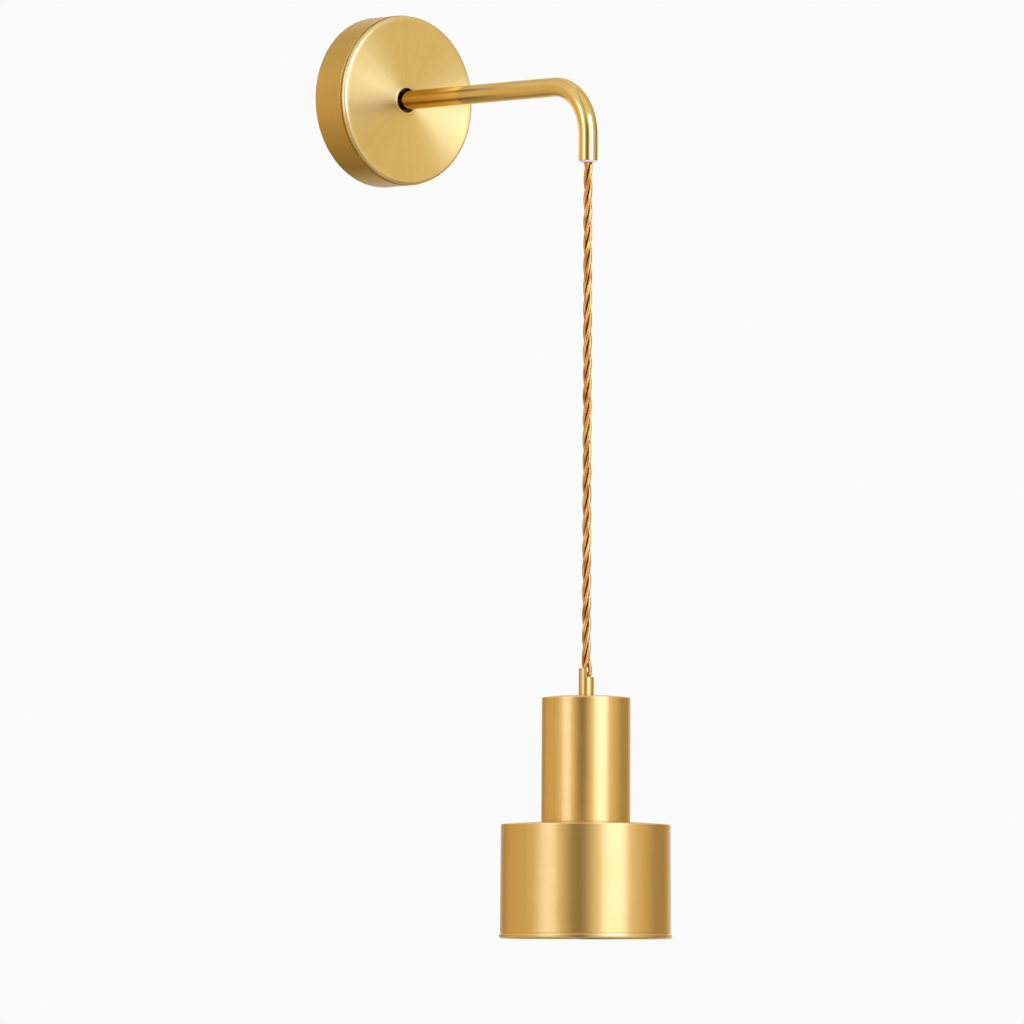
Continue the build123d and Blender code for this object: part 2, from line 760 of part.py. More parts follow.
# ------------------------------------------------------------------ grip on the lamp
# Turned brass grip: a bore for the cord above, a thread below, a set-screw hole at the
# back, and a tongue of the wall that stands up beside the cord.
with BuildPart() as grip_body:
    with BuildSketch(level(grip_z)):
        Circle(grip_radius)
    extrude(amount=-grip_height)
    chamfer(grip_body.edges(), grip_chamfer)
    with BuildSketch(level(grip_z)):
        Circle(cord_radius + screw_clear)
    extrude(amount=-grip_height, mode=Mode.SUBTRACT)
    with BuildSketch(level(cup_z)):
        Circle(rod_radius + thread_fit)
    extrude(amount=grip_thread_depth, mode=Mode.SUBTRACT)
    with BuildSketch(level(grip_z - grip_chamfer)):
        Circle(grip_radius)
        Circle(grip_radius - tongue_thickness, mode=Mode.SUBTRACT)
        with Locations((-grip_radius, 0)):
            Rectangle(grip_radius, tongue_width, mode=Mode.INTERSECT)
    extrude(amount=grip_tongue + grip_chamfer)
    with BuildSketch(Plane((0, -arm_reach, grip_z - grip_screw_drop), z_dir=(1, 0, 0))):
        Circle(grip_screw_radius + thread_fit)
    extrude(amount=grip_radius + 1, mode=Mode.SUBTRACT)
grip_body.part.label = "grip_body"
export_step(grip_body.part, "parts/grip_body.step")

# Socket set screw that pinches the cord against the tongue's side.
screw_reach = cord_radius + thread_fit
with BuildPart() as grip_screw:
    screw_plane = Plane((screw_reach, -arm_reach, grip_z - grip_screw_drop), z_dir=(1, 0, 0))
    with BuildSketch(screw_plane):
        Circle(grip_screw_radius)
    extrude(amount=grip_radius - screw_reach)
    with BuildSketch(screw_plane.offset(grip_radius - screw_reach - socket_depth)):
        RegularPolygon(grip_screw_radius / 2, 6)
    extrude(amount=socket_depth, mode=Mode.SUBTRACT)
grip_screw.part.label = "grip_screw"
export_step(grip_screw.part, "parts/grip_screw.step")

# ------------------------------------------------------------------ cup
# Slim spun cylinder, closed above by a low crown with a flat seat for the grip.
with BuildPart() as cup:
    with BuildSketch(lamp_section):
        with BuildLine():
            cup_edge = cup_top_radius - edge_rounding
            cup_mid = (cup_seat_radius + cup_edge) / 2
            mid_z = cup_z - cup_crown * ((cup_mid - cup_seat_radius) / (cup_edge - cup_seat_radius)) ** 2
            seat = Line((rod_radius + screw_clear, cup_z), (cup_seat_radius, cup_z))
            top = ThreePointArc(seat @ 1, (cup_mid, mid_z), (cup_edge, cup_shoulder_z))
            turn = ThreePointArc(
                top @ 1,
                (cup_top_radius - edge_rounding * 0.293, cup_shoulder_z - edge_rounding * 0.293),
                (cup_top_radius, cup_shoulder_z - edge_rounding),
            )
            side = Polyline(
                turn @ 1,
                (cup_bottom_radius, cup_bottom_z),
                (cup_bottom_radius - sheet, cup_bottom_z),
                (cup_top_radius - sheet, cup_shoulder_z - sheet - edge_rounding / 2),
                (cup_edge - sheet / 2, cup_shoulder_z - sheet),
            )
            under = ThreePointArc(
                side @ 1,
                (cup_mid, mid_z - sheet),
                (cup_seat_radius, cup_z - sheet),
            )
            Polyline(under @ 1, (rod_radius + screw_clear, cup_z - sheet), seat @ 0)
        make_face()
    revolve(axis=drop_axis)
cup.part.label = "cup"
export_step(cup.part, "parts/cup.step")

# Washer and nut under the cup's top.
with BuildPart() as cup_washer:
    with BuildSketch(level(cup_z - sheet - cup_washer_thickness)):
        Circle(cup_washer_radius)
        Circle(rod_radius + screw_clear, mode=Mode.SUBTRACT)
    extrude(amount=cup_washer_thickness - thread_fit)
cup_washer.part.label = "cup_washer"
export_step(cup_washer.part, "parts/cup_washer.step")

cup_nut_z = cup_z - sheet - cup_washer_thickness - cup_nut_height
cup_nut = hex_nut(level(cup_nut_z), rod_nut_flats, cup_nut_height, rod_radius + thread_fit)
cup_nut.label = "cup_nut"
export_step(cup_nut, "parts/cup_nut.step")

# Hollow threaded rod.
with BuildPart() as threaded_rod:
    with BuildSketch(level(rod_bottom_z)):
        Circle(rod_radius)
        Circle(rod_bore_radius, mode=Mode.SUBTRACT)
    extrude(amount=rod_top_z - rod_bottom_z)
threaded_rod.part.label = "threaded_rod"
export_step(threaded_rod.part, "parts/threaded_rod.step")

# ------------------------------------------------------------------ lampholder
dome_top_z = holder_top_z - cap_boss_height
dome_bottom_z = dome_top_z - cap_dome
cap_bottom_z = holder_top_z - cap_height

# Moulded cap with a threaded boss and a domed shoulder.
with BuildPart() as holder_cap:
    with BuildSketch(lamp_section):
        with BuildLine():
            boss = Polyline(
                (rod_radius + thread_fit, cap_floor_z),
                (rod_radius + thread_fit, holder_top_z),
                (cap_boss_radius, holder_top_z),
                (cap_boss_radius, dome_top_z),
            )
            dome = RadiusArc(boss @ 1, (holder_radius, dome_bottom_z), cap_dome_curve)
            rim = Polyline(
                dome @ 1,
                (holder_radius, cap_bottom_z),
                (holder_radius - holder_wall, cap_bottom_z),
                (holder_radius - holder_wall, dome_bottom_z),
            )
            hollow = RadiusArc(
                rim @ 1,
                (cap_floor_radius, cap_floor_z),
                holder_wall - cap_dome_curve,
            )
            Line(hollow @ 1, boss @ 0)
        make_face()
    revolve(axis=drop_axis)
holder_cap.part.label = "holder_cap"
export_step(holder_cap.part, "parts/holder_cap.step")

# Earth ring and thin nut on the rod's end, inside the cap.
with BuildPart() as cap_earth_ring:
    with BuildSketch(level(cap_floor_z - cap_ring_thickness)):
        Circle(rod_nut_flats / 2)
        with Locations((0, cap_ring_tail / 2)):
            Rectangle(cap_ring_tail_width, cap_ring_tail)
        Circle(rod_radius + thread_fit, mode=Mode.SUBTRACT)
    extrude(amount=cap_ring_thickness - thread_fit)
cap_earth_ring.part.label = "cap_earth_ring"
export_step(cap_earth_ring.part, "parts/cap_earth_ring.step")

cap_nut = hex_nut(level(cap_nut_z), rod_nut_flats, cap_nut_height, rod_radius + thread_fit)
cap_nut.label = "cap_nut"
export_step(cap_nut, "parts/cap_nut.step")

# Moulded body: it seats on the shade by a flange, and its threaded skirt goes through.
skirt_bottom_z = seat_z - skirt_length
with BuildPart() as holder_body:
    with BuildSketch(lamp_section):
        with BuildLine():
            Polyline(
                (holder_radius - holder_wall, cap_bottom_z),
                (holder_radius, cap_bottom_z),
                (holder_radius, seat_z + flange_height),
                (flange_radius, seat_z + flange_height - 1.5),
                (flange_radius, seat_z),
                (skirt_radius, seat_z),
                (skirt_radius, skirt_bottom_z),
                (skirt_radius - skirt_wall, skirt_bottom_z),
                (skirt_radius - skirt_wall, insert_z - 1.5),
                (holder_radius - holder_wall, insert_z - 1.5),
                close=True,
            )
        make_face()
    revolve(axis=drop_axis)
    fillet(holder_body.edges().group_by(Axis.Z)[0], 0.8)
holder_body.part.label = "holder_body"
export_step(holder_body.part, "parts/holder_body.step")

# Porcelain insert that carries the contacts.
insert_radius = holder_radius - holder_wall - slip_fit
insert_top_z = insert_z + insert_length
with BuildPart() as holder_insert:
    with BuildSketch(level(insert_z)):
        Circle(insert_radius)
    extrude(amount=insert_length)
    chamfer(holder_insert.edges().group_by(Axis.Z)[-1], 1.0)
    with BuildSketch(level(insert_z)):
        Circle(insert_recess_radius)
    extrude(amount=insert_recess, mode=Mode.SUBTRACT)
holder_insert.part.label = "holder_insert"
export_step(holder_insert.part, "parts/holder_insert.step")

# Two brass terminal posts on the insert, and their clamp screws.
post_screw_z = insert_top_z + post_size[2] / 2
with BuildPart() as holder_terminals:
    with BuildSketch(level(insert_top_z)):
        with Locations((-post_reach, 0), (post_reach, 0)):
            Rectangle(post_size[0], post_size[1])
    extrude(amount=post_size[2])
    with BuildSketch(Plane((-insert_radius, -arm_reach, post_screw_z), z_dir=(1, 0, 0))):
        Circle(grip_screw_radius + thread_fit)
    extrude(amount=2 * insert_radius, mode=Mode.SUBTRACT)
holder_terminals.part.label = "holder_terminals"
export_step(holder_terminals.part, "parts/holder_terminals.step")

with BuildPart() as holder_screws:
    for side in (1, -1):
        start = side * (post_reach - post_size[0] / 2)
        with BuildSketch(Plane((start, -arm_reach, post_screw_z), z_dir=(side, 0, 0))):
            Circle(grip_screw_radius)
        extrude(amount=post_size[0] + post_screw_head)
holder_screws.part.label = "holder_screws"
export_step(holder_screws.part, "parts/holder_screws.step")

# Cores inside the cap: two to the terminals, one to the earth ring's tail.
post_top_z = insert_top_z + post_size[2]
for name, side in {"tail_live": -1, "tail_neutral": 1}.items():
    wire = lead(
        [
            (side * lower_x, lower_z - arm_reach, rod_bottom_z),
            (side * lower_x, lower_z - arm_reach, rod_bottom_z - tail_rise),
            (side * post_reach, -arm_reach, post_top_z + tail_rise),
            (side * post_reach, -arm_reach, post_top_z),
        ],
        tail_bend,
        tail_radius,
    )
    wire.label = name
    export_step(wire, f"parts/{name}.step")

tail_end_y = cap_ring_tail - tail_radius - thread_fit - arm_reach
tail_earth = lead(
    [
        (0, core_ring - arm_reach, rod_bottom_z),
        (0, core_ring - arm_reach, rod_bottom_z - tail_rise),
        (0, tail_end_y, rod_bottom_z - tail_rise),
        (0, tail_end_y, cap_floor_z - cap_ring_thickness),
    ],
    tail_bend,
    tail_radius,
)
tail_earth.label = "tail_earth"
export_step(tail_earth, "parts/tail_earth.step")

# Screw shell: a drawn brass cup with an eye above for the centre contact.
with BuildPart() as screw_shell:
    with BuildSketch(lamp_section):
        with BuildLine():
            Polyline(
                (shell_eye_radius, insert_z),
                (shell_radius, insert_z),
                (shell_radius, shell_bottom_z),
                (shell_radius - shell_wall, shell_bottom_z),
                (shell_radius - shell_wall, insert_z - shell_wall),
                (shell_eye_radius, insert_z - shell_wall),
                close=True,
            )
        make_face()
    revolve(axis=drop_axis)
screw_shell.part.label = "screw_shell"
export_step(screw_shell.part, "parts/screw_shell.step")

# Centre contact: a sprung tongue that bows down from the insert.
contact_foot_z = insert_z + insert_recess
with BuildPart() as centre_contact:
    with BuildSketch(lamp_section.offset(-contact_width / 2)):
        with BuildLine():
            FilletPolyline(
                (-insert_recess_radius + contact_thickness, contact_foot_z),
                (contact_reach, contact_foot_z),
                (contact_reach / 2, insert_z - contact_bow),
                (-contact_reach, insert_z - contact_bow + contact_thickness),
                radius=2 * contact_thickness,
            )
            offset(amount=contact_thickness, side=Side.RIGHT)
        make_face()
    extrude(amount=contact_width)
centre_contact.part.label = "centre_contact"
export_step(centre_contact.part, "parts/centre_contact.step")

# ------------------------------------------------------------------ shade
# Wide spun cylinder: a low crown with the holder's hole, an eased shoulder, a wall with
# a slight draft, and a turned-out lip.
with BuildPart() as shade:
    with BuildSketch(lamp_section):
        with BuildLine():
            half_way = (shade_hole_radius + shade_edge_radius) / 2
            half_way_z = shoulder_z + crown(shade_crown, half_way, shade_edge_radius)
            ease = edge_rounding * 0.293
            top = ThreePointArc(
                (shade_hole_radius, seat_z),
                (half_way, half_way_z),
                (shade_edge_radius, shoulder_z),
            )
            turn = ThreePointArc(
                top @ 1,
                (shade_top_radius - ease, shoulder_z - ease),
                (shade_top_radius, shoulder_z - edge_rounding),
            )
            side = Polyline(
                turn @ 1,
                (shade_bottom_radius, shade_z + lip_height),
                (lip_radius, shade_z + lip_height - 0.5),
                (lip_radius, shade_z + 0.4),
                (lip_radius - 0.4, shade_z),
                (shade_bottom_radius - sheet, shade_z),
                (shade_top_radius - sheet, shoulder_z - sheet - edge_rounding),
                (shade_edge_radius - sheet, shoulder_z - sheet),
            )
            under = ThreePointArc(
                side @ 1,
                (half_way, half_way_z - sheet),
                (shade_hole_radius, seat_z - sheet),
            )
            Line(under @ 1, top @ 0)
        make_face()
    revolve(axis=drop_axis)
shade.part.label = "shade"
export_step(shade.part, "parts/shade.step")

# Shade ring: screwed up the skirt from below, it clamps the shade to the flange.
ring_seat = crown(shade_crown, ring_radius, shade_edge_radius)
ring_top_z = shoulder_z + ring_seat - sheet - thread_fit
with BuildPart() as shade_ring:
    with BuildSketch(level(ring_top_z - ring_rim)):
        Circle(ring_radius)
    extrude(amount=ring_rim)
    with BuildSketch(level(ring_top_z - ring_height)):
        Circle(ring_hub_radius)
        with PolarLocations(ring_hub_radius, ring_grooves):
            Circle(ring_groove_radius, mode=Mode.SUBTRACT)
    extrude(amount=ring_height)
    with BuildSketch(level(ring_top_z)):
        Circle(skirt_radius + thread_fit)
    extrude(amount=-ring_height, mode=Mode.SUBTRACT)
shade_ring.part.label = "shade_ring"
export_step(shade_ring.part, "parts/shade_ring.step")
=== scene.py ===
from math import pi, radians, sin, tan

import bpy
from mathutils import Matrix, Vector


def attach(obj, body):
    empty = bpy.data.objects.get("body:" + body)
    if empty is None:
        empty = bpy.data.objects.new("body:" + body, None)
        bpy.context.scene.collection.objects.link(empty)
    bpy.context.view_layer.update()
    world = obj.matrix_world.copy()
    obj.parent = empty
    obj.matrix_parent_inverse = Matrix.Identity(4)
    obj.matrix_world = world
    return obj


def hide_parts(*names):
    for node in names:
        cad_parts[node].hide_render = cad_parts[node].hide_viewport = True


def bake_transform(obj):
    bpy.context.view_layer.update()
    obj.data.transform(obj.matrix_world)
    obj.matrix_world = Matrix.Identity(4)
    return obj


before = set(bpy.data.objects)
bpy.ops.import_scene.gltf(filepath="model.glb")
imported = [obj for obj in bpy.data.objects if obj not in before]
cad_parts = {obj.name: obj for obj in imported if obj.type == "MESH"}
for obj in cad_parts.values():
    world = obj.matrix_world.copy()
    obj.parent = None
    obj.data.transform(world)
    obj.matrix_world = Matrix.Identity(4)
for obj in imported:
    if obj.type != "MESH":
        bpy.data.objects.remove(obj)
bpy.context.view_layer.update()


# --------------------------------------------------------------- back plate and bracket
# Pressed steel, bright zinc plated: a disc for the wall screws, a hat-shaped bracket for
# the arm, and four rivets. Zinc is a bluish grey metal with a faint mottle from the bath.
def colour(code):
    """Linear red, green, blue and alpha of an sRGB hex colour."""
    parts = [int(code[i:i + 2], 16) / 255 for i in (1, 3, 5)]
    return [v / 12.92 if v <= 0.04045 else ((v + 0.055) / 1.055) ** 2.4 for v in parts] + [1.0]


def add(tree, kind, inputs=(), **settings):
    """One node with its settings. Each input takes a plain value, or an output to link."""
    node = tree.nodes.new(kind)
    for name, value in settings.items():
        setattr(node, name, value)
    for place, value in dict(inputs).items():
        if isinstance(value, bpy.types.NodeSocket):
            tree.links.new(value, node.inputs[place])
        else:
            node.inputs[place].default_value = value
    return node


def start_material(name):
    """An empty material and its node tree."""
    material = bpy.data.materials.new(name)
    material.use_nodes = True
    material.node_tree.nodes.clear()
    return material, material.node_tree


def end_material(tree, surface):
    """Links the finished surface to the material's output."""
    add(tree, "ShaderNodeOutputMaterial", {"Surface": surface.outputs[0]})


def dress(material, *nodes):
    """Gives CAD nodes a material in place of their plain one."""
    for name in nodes:
        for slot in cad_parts[name].material_slots:
            slot.material = material


def marks(millimetres):
    """A pattern's scale, from how far apart its marks are on the real surface."""
    return 1000 / millimetres


zinc_plated_steel, tree = start_material("zinc_plated_steel")
place = add(tree, "ShaderNodeTexCoord").outputs["Object"]
mottle = add(tree, "ShaderNodeTexNoise", {"Vector": place, "Scale": marks(4.545), "Detail": 3.0})
tint = add(tree, "ShaderNodeMix", {
    0: mottle.outputs["Fac"], 6: colour("#AEB3B8"), 7: colour("#C9CCCD"),
}, data_type="RGBA")
gloss = add(tree, "ShaderNodeMapRange", {
    "Value": mottle.outputs["Fac"], "To Min": 0.30, "To Max": 0.44,
})
end_material(tree, add(tree, "ShaderNodeBsdfPrincipled", {
    "Base Color": tint.outputs[2],
    "Metallic": 1.0,
    "Roughness": gloss.outputs["Result"],
}))
dress(zinc_plated_steel, "wall_plate", "arm_bracket", "bracket_rivets")


# --------------------------------------------------------------- cable grommet
# A moulded ring of soft black rubber, pressed into the plate's hole, that keeps the supply
# cable off the steel. Rubber is matt, with a dusty bloom.
black_rubber, tree = start_material("black_rubber")
place = add(tree, "ShaderNodeTexCoord").outputs["Object"]
bloom = add(tree, "ShaderNodeTexNoise", {"Vector": place, "Scale": marks(1.111), "Detail": 4.0})
shade_of_black = add(tree, "ShaderNodeMix", {
    0: bloom.outputs["Fac"], 6: colour("#1B1B1C"), 7: colour("#2C2C2D"),
}, data_type="RGBA")
end_material(tree, add(tree, "ShaderNodeBsdfPrincipled", {
    "Base Color": shade_of_black.outputs[2],
    "Roughness": 0.72,
}))
dress(black_rubber, "cable_grommet")


# --------------------------------------------------------------- terminal block
# White moulded nylon with brass barrels, screwed to the plate. Nylon is milky, with a soft
# shine over a fine grain from the mould.
white_nylon, tree = start_material("white_nylon")
place = add(tree, "ShaderNodeTexCoord").outputs["Object"]
skin = add(tree, "ShaderNodeTexNoise", {"Vector": place, "Scale": marks(0.7143), "Detail": 2.0})
dimple = add(tree, "ShaderNodeBump", {
    "Strength": 0.25, "Distance": 0.00003, "Height": skin.outputs["Fac"],
})
end_material(tree, add(tree, "ShaderNodeBsdfPrincipled", {
    "Base Color": colour("#F1EFE8"),
    "Roughness": 0.42,
    "IOR": 1.53,
    "Subsurface Weight": 0.15,
    "Subsurface Radius": (0.002, 0.0018, 0.0015),
    "Normal": dimple.outputs["Normal"],
}))
dress(white_nylon, "terminal_block", "cord_anchor", "mouth_bush")

# Bare brass, turned on a lathe, is a little darker and rougher than the lacquered covers.
turned_brass, tree = start_material("turned_brass")
place = add(tree, "ShaderNodeTexCoord").outputs["Object"]
tarnish = add(tree, "ShaderNodeTexNoise", {"Vector": place, "Scale": marks(6.25), "Detail": 4.0})
tint = add(tree, "ShaderNodeMix", {
    0: tarnish.outputs["Fac"], 6: colour("#C9A862"), 7: colour("#E8CB88"),
}, data_type="RGBA")
gloss = add(tree, "ShaderNodeMapRange", {
    "Value": tarnish.outputs["Fac"], "To Min": 0.34, "To Max": 0.22,
})
end_material(tree, add(tree, "ShaderNodeBsdfPrincipled", {
    "Base Color": tint.outputs[2],
    "Metallic": 1.0,
    "Roughness": gloss.outputs["Result"],
}))
dress(turned_brass, "terminal_barrels", "earth_screw", "band_screws", "arm_nut", "cup_nut",
      "cap_nut", "holder_terminals", "centre_contact")

# The small screws, washers and ring tags are zinc plated.
dress(zinc_plated_steel, "terminal_screws", "block_screws", "earth_tag", "arm_washer",
      "anchor_screw", "grip_screw", "cup_washer", "cap_earth_ring", "holder_screws")


# --------------------------------------------------------------- leads
# Three cores without their outer braid: extruded vinyl, brown, blue, and green with a
# yellow stripe for earth. Extruded vinyl has a soft, even shine.
def vinyl(name, base, stripe):
    """Extruded vinyl in one colour, with a stripe in a second one every 5.24 mm."""
    material, tree = start_material(name)
    place = add(tree, "ShaderNodeTexCoord").outputs["Object"]
    # A wave repeats every pi / 10 of its scaled vector.
    bands = add(tree, "ShaderNodeTexWave", {
        "Vector": place, "Scale": pi / 10 * marks(5.236),
    }, wave_profile="SAW")
    edge = add(tree, "ShaderNodeMath", {0: bands.outputs["Fac"], 1: 0.7}, operation="GREATER_THAN")
    paint = add(tree, "ShaderNodeMix", {
        0: edge.outputs[0], 6: colour(base), 7: colour(stripe),
    }, data_type="RGBA")
    end_material(tree, add(tree, "ShaderNodeBsdfPrincipled", {
        "Base Color": paint.outputs[2],
        "Roughness": 0.38,
    }))
    return material


dress(vinyl("brown_vinyl", "#4A2A18", "#52301D"), "lead_live", "tail_live")
dress(vinyl("blue_vinyl", "#2A5C9E", "#2F64A8"), "lead_neutral", "tail_neutral")
dress(vinyl("green_yellow_vinyl", "#3E8A3A", "#D9C22E"), "lead_earth", "tail_earth", "earth_link")


# --------------------------------------------------------------- canopy
# Spun brass drum and lid, satin finished on the lathe and lacquered. The finish leaves
# fine rings round the axis, so highlights stretch across them: as a bow tie on the flat
# lid, and as upright bands on a cylinder.
def spun_brass(name, centre, axis, deeper, paler):
    """Satin brass of two tones, whose fine rings run round an axis through a point."""
    material, tree = start_material(name)
    place = add(tree, "ShaderNodeTexCoord").outputs["Object"]
    out = add(tree, "ShaderNodeVectorMath", {0: place, 1: centre}, operation="SUBTRACT")
    round_it = add(tree, "ShaderNodeVectorMath", {
        0: axis, 1: out.outputs[0],
    }, operation="CROSS_PRODUCT")
    tangent = add(tree, "ShaderNodeVectorMath", {0: round_it.outputs[0]}, operation="NORMALIZE")
    radius = add(tree, "ShaderNodeVectorMath", {0: round_it.outputs[0]}, operation="LENGTH")
    height = add(tree, "ShaderNodeVectorMath", {
        0: out.outputs[0], 1: axis,
    }, operation="DOT_PRODUCT")
    across = add(tree, "ShaderNodeMath", {
        0: radius.outputs["Value"], 1: height.outputs["Value"],
    }, operation="ADD")
    # A real ring is about 0.1 mm wide, too fine to show, so these are 0.4 mm.
    rings = add(tree, "ShaderNodeMath", {
        0: across.outputs[0], 1: marks(0.4),
    }, operation="MULTIPLY")
    grain = add(tree, "ShaderNodeTexNoise", {
        "Vector": tangent.outputs[0], "W": rings.outputs[0], "Scale": 1.0, "Detail": 2.0,
    }, noise_dimensions="4D")
    # Polishing leaves faint rays, about 8 degrees apart, over a cloudy tone.
    rays = add(tree, "ShaderNodeTexNoise", {
        "Vector": tangent.outputs[0], "Scale": 7.0, "Detail": 4.0,
    })
    polish = add(tree, "ShaderNodeMapRange", {
        "Value": rays.outputs["Fac"], "From Min": 0.3, "From Max": 0.7,
        "To Min": -0.3, "To Max": 0.3,
    })
    cloud = add(tree, "ShaderNodeTexNoise", {
        "Vector": place, "Scale": marks(22.22), "Detail": 2.0,
    })
    tone = add(tree, "ShaderNodeMath", {
        0: polish.outputs["Result"], 1: cloud.outputs["Fac"],
    }, operation="ADD", use_clamp=True)
    tint = add(tree, "ShaderNodeMix", {
        0: tone.outputs[0], 6: colour(deeper), 7: colour(paler),
    }, data_type="RGBA")
    # The eased edges are paler and smoother: partly wear from handling and the lathe's
    # burnisher, partly a painted highlight along each edge.
    edge = add(tree, "ShaderNodeAttribute", attribute_name="edge")
    edges_worn_and_highlit = add(tree, "ShaderNodeMix", {
        0: edge.outputs["Fac"], 6: tint.outputs[2], 7: colour("#F9E2A8"),
    }, data_type="RGBA")
    gloss = add(tree, "ShaderNodeMapRange", {
        "Value": grain.outputs["Fac"], "To Min": 0.36, "To Max": 0.42,
    })
    smoother = add(tree, "ShaderNodeMath", {
        0: edge.outputs["Fac"], 1: -0.10, 2: gloss.outputs["Result"],
    }, operation="MULTIPLY_ADD")
    rise = add(tree, "ShaderNodeBump", {
        "Strength": 0.06, "Distance": 0.00002, "Height": grain.outputs["Fac"],
    })
    end_material(tree, add(tree, "ShaderNodeBsdfPrincipled", {
        "Base Color": edges_worn_and_highlit.outputs[2],
        "Metallic": 1.0,
        "Roughness": smoother.outputs[0],
        "Anisotropic": 0.85,
        "Anisotropic Rotation": 0.25,
        "Tangent": tangent.outputs[0],
        "Coat Weight": 0.6,
        "Coat Roughness": 0.2,
        "Specular Tint": colour("#F5DCA8"),
        "Normal": rise.outputs["Normal"],
    }))
    return material


def start_tree(name, **sockets):
    """A Geometry Nodes tree with named inputs. Returns it and its inputs."""
    tree = bpy.data.node_groups.new(name, "GeometryNodeTree")
    for way in ("INPUT", "OUTPUT"):
        tree.interface.new_socket("Geometry", in_out=way, socket_type="NodeSocketGeometry")
    for label, kind in sockets.items():
        tree.interface.new_socket(label, in_out="INPUT", socket_type="NodeSocket" + kind)
    return tree, add(tree, "NodeGroupInput").outputs


def end_tree(tree, geometry, finish):
    """Ends a tree with real geometry in its finish."""
    real = add(tree, "GeometryNodeRealizeInstances", {0: geometry})
    dressed = add(tree, "GeometryNodeSetMaterial", {0: real.outputs[0], 2: finish})
    add(tree, "NodeGroupOutput", {0: dressed.outputs[0]})


def grow(tree, name, points, placed, facts=(), **values):
    """Runs a tree on a line of points, and keeps the result as a plain mesh in its place."""
    line = bpy.data.meshes.new(name)
    line.from_pydata(points, [(i, i + 1) for i in range(len(points) - 1)], [])
    for fact, numbers in dict(facts).items():
        line.attributes.new(fact, "FLOAT", "POINT").data.foreach_set("value", numbers)
    piece = bpy.data.objects.new(name, line)
    bpy.context.scene.collection.objects.link(piece)
    modifier = piece.modifiers.new(tree.name, "NODES")
    modifier.node_group = tree
    for item in tree.interface.items_tree:
        if item.in_out == "INPUT" and item.name in values:
            modifier[item.identifier] = values[item.name]
    shaped = piece.evaluated_get(bpy.context.evaluated_depsgraph_get())
    shaped_mesh = bpy.data.meshes.new_from_object(shaped)
    piece.modifiers.clear()
    piece.data = shaped_mesh
    shaped_mesh.name = name
    shaped_mesh.transform(placed)
    bpy.data.meshes.remove(line)
    return piece


# A turned piece: its half outline goes round the axis. Where the outline is marked as
# threaded, its radius follows a helix.
turned_form, inputs = start_tree(
    "turned_form", Steps="Int", Pitch="Float", Depth="Float", Finish="Material")
outline = inputs["Geometry"]
rows = add(turned_form, "GeometryNodeAttributeDomainSize", {0: outline}, component="MESH")
columns = add(turned_form, "ShaderNodeMath", {0: inputs["Steps"], 1: 1.0}, operation="ADD")
grid = add(turned_form, "GeometryNodeMeshGrid", {
    0: 1.0, 1: 1.0, 2: columns.outputs[0], 3: rows.outputs["Point Count"],
})
position = add(turned_form, "GeometryNodeInputPosition").outputs[0]
spot = add(turned_form, "ShaderNodeSeparateXYZ", {0: position})
turn = add(turned_form, "ShaderNodeMath", {0: spot.outputs["X"], 1: 0.5}, operation="ADD")
angle = add(turned_form, "ShaderNodeMath", {0: turn.outputs[0], 1: 2 * pi}, operation="MULTIPLY")
up = add(turned_form, "ShaderNodeMath", {0: spot.outputs["Y"], 1: 0.5}, operation="ADD")
last_row = add(turned_form, "ShaderNodeMath", {
    0: rows.outputs["Point Count"], 1: 1.0,
}, operation="SUBTRACT")
row = add(turned_form, "ShaderNodeMath", {
    0: up.outputs[0], 1: last_row.outputs[0],
}, operation="MULTIPLY")
row_number = add(turned_form, "FunctionNodeFloatToInt", {0: row.outputs[0]}, rounding_mode="ROUND")
corner = add(turned_form, "GeometryNodeSampleIndex", {
    0: outline, 1: position, 2: row_number.outputs[0],
}, data_type="FLOAT_VECTOR")
at = add(turned_form, "ShaderNodeSeparateXYZ", {0: corner.outputs[0]})
mark = add(turned_form, "GeometryNodeInputNamedAttribute", {0: "thread"}, data_type="FLOAT")
share = add(turned_form, "GeometryNodeSampleIndex", {
    0: outline, 1: mark.outputs[0], 2: row_number.outputs[0],
}, data_type="FLOAT")
climb = add(turned_form, "ShaderNodeMath", {
    0: at.outputs["Z"], 1: inputs["Pitch"],
}, operation="DIVIDE")
phase = add(turned_form, "ShaderNodeMath", {
    0: climb.outputs[0], 1: turn.outputs[0],
}, operation="SUBTRACT")
swing = add(turned_form, "ShaderNodeMath", {0: phase.outputs[0], 1: 2 * pi}, operation="MULTIPLY")
wave = add(turned_form, "ShaderNodeMath", {0: swing.outputs[0]}, operation="COSINE")
groove = add(turned_form, "ShaderNodeMath", {
    0: wave.outputs[0], 1: 0.5, 2: -0.5,
}, operation="MULTIPLY_ADD")
deep = add(turned_form, "ShaderNodeMath", {
    0: groove.outputs[0], 1: inputs["Depth"],
}, operation="MULTIPLY")
reach = add(turned_form, "ShaderNodeMath", {
    0: deep.outputs[0], 1: share.outputs[0], 2: at.outputs["X"],
}, operation="MULTIPLY_ADD")
east = add(turned_form, "ShaderNodeMath", {0: angle.outputs[0]}, operation="COSINE")
north = add(turned_form, "ShaderNodeMath", {0: angle.outputs[0]}, operation="SINE")
to_east = add(turned_form, "ShaderNodeMath", {
    0: east.outputs[0], 1: reach.outputs[0],
}, operation="MULTIPLY")
to_north = add(turned_form, "ShaderNodeMath", {
    0: north.outputs[0], 1: reach.outputs[0],
}, operation="MULTIPLY")
target = add(turned_form, "ShaderNodeCombineXYZ", {
    0: to_east.outputs[0], 1: to_north.outputs[0], 2: at.outputs["Z"],
})
eased = add(turned_form, "GeometryNodeInputNamedAttribute", {0: "edge"}, data_type="FLOAT")
eased_row = add(turned_form, "GeometryNodeSampleIndex", {
    0: outline, 1: eased.outputs[0], 2: row_number.outputs[0],
}, data_type="FLOAT")
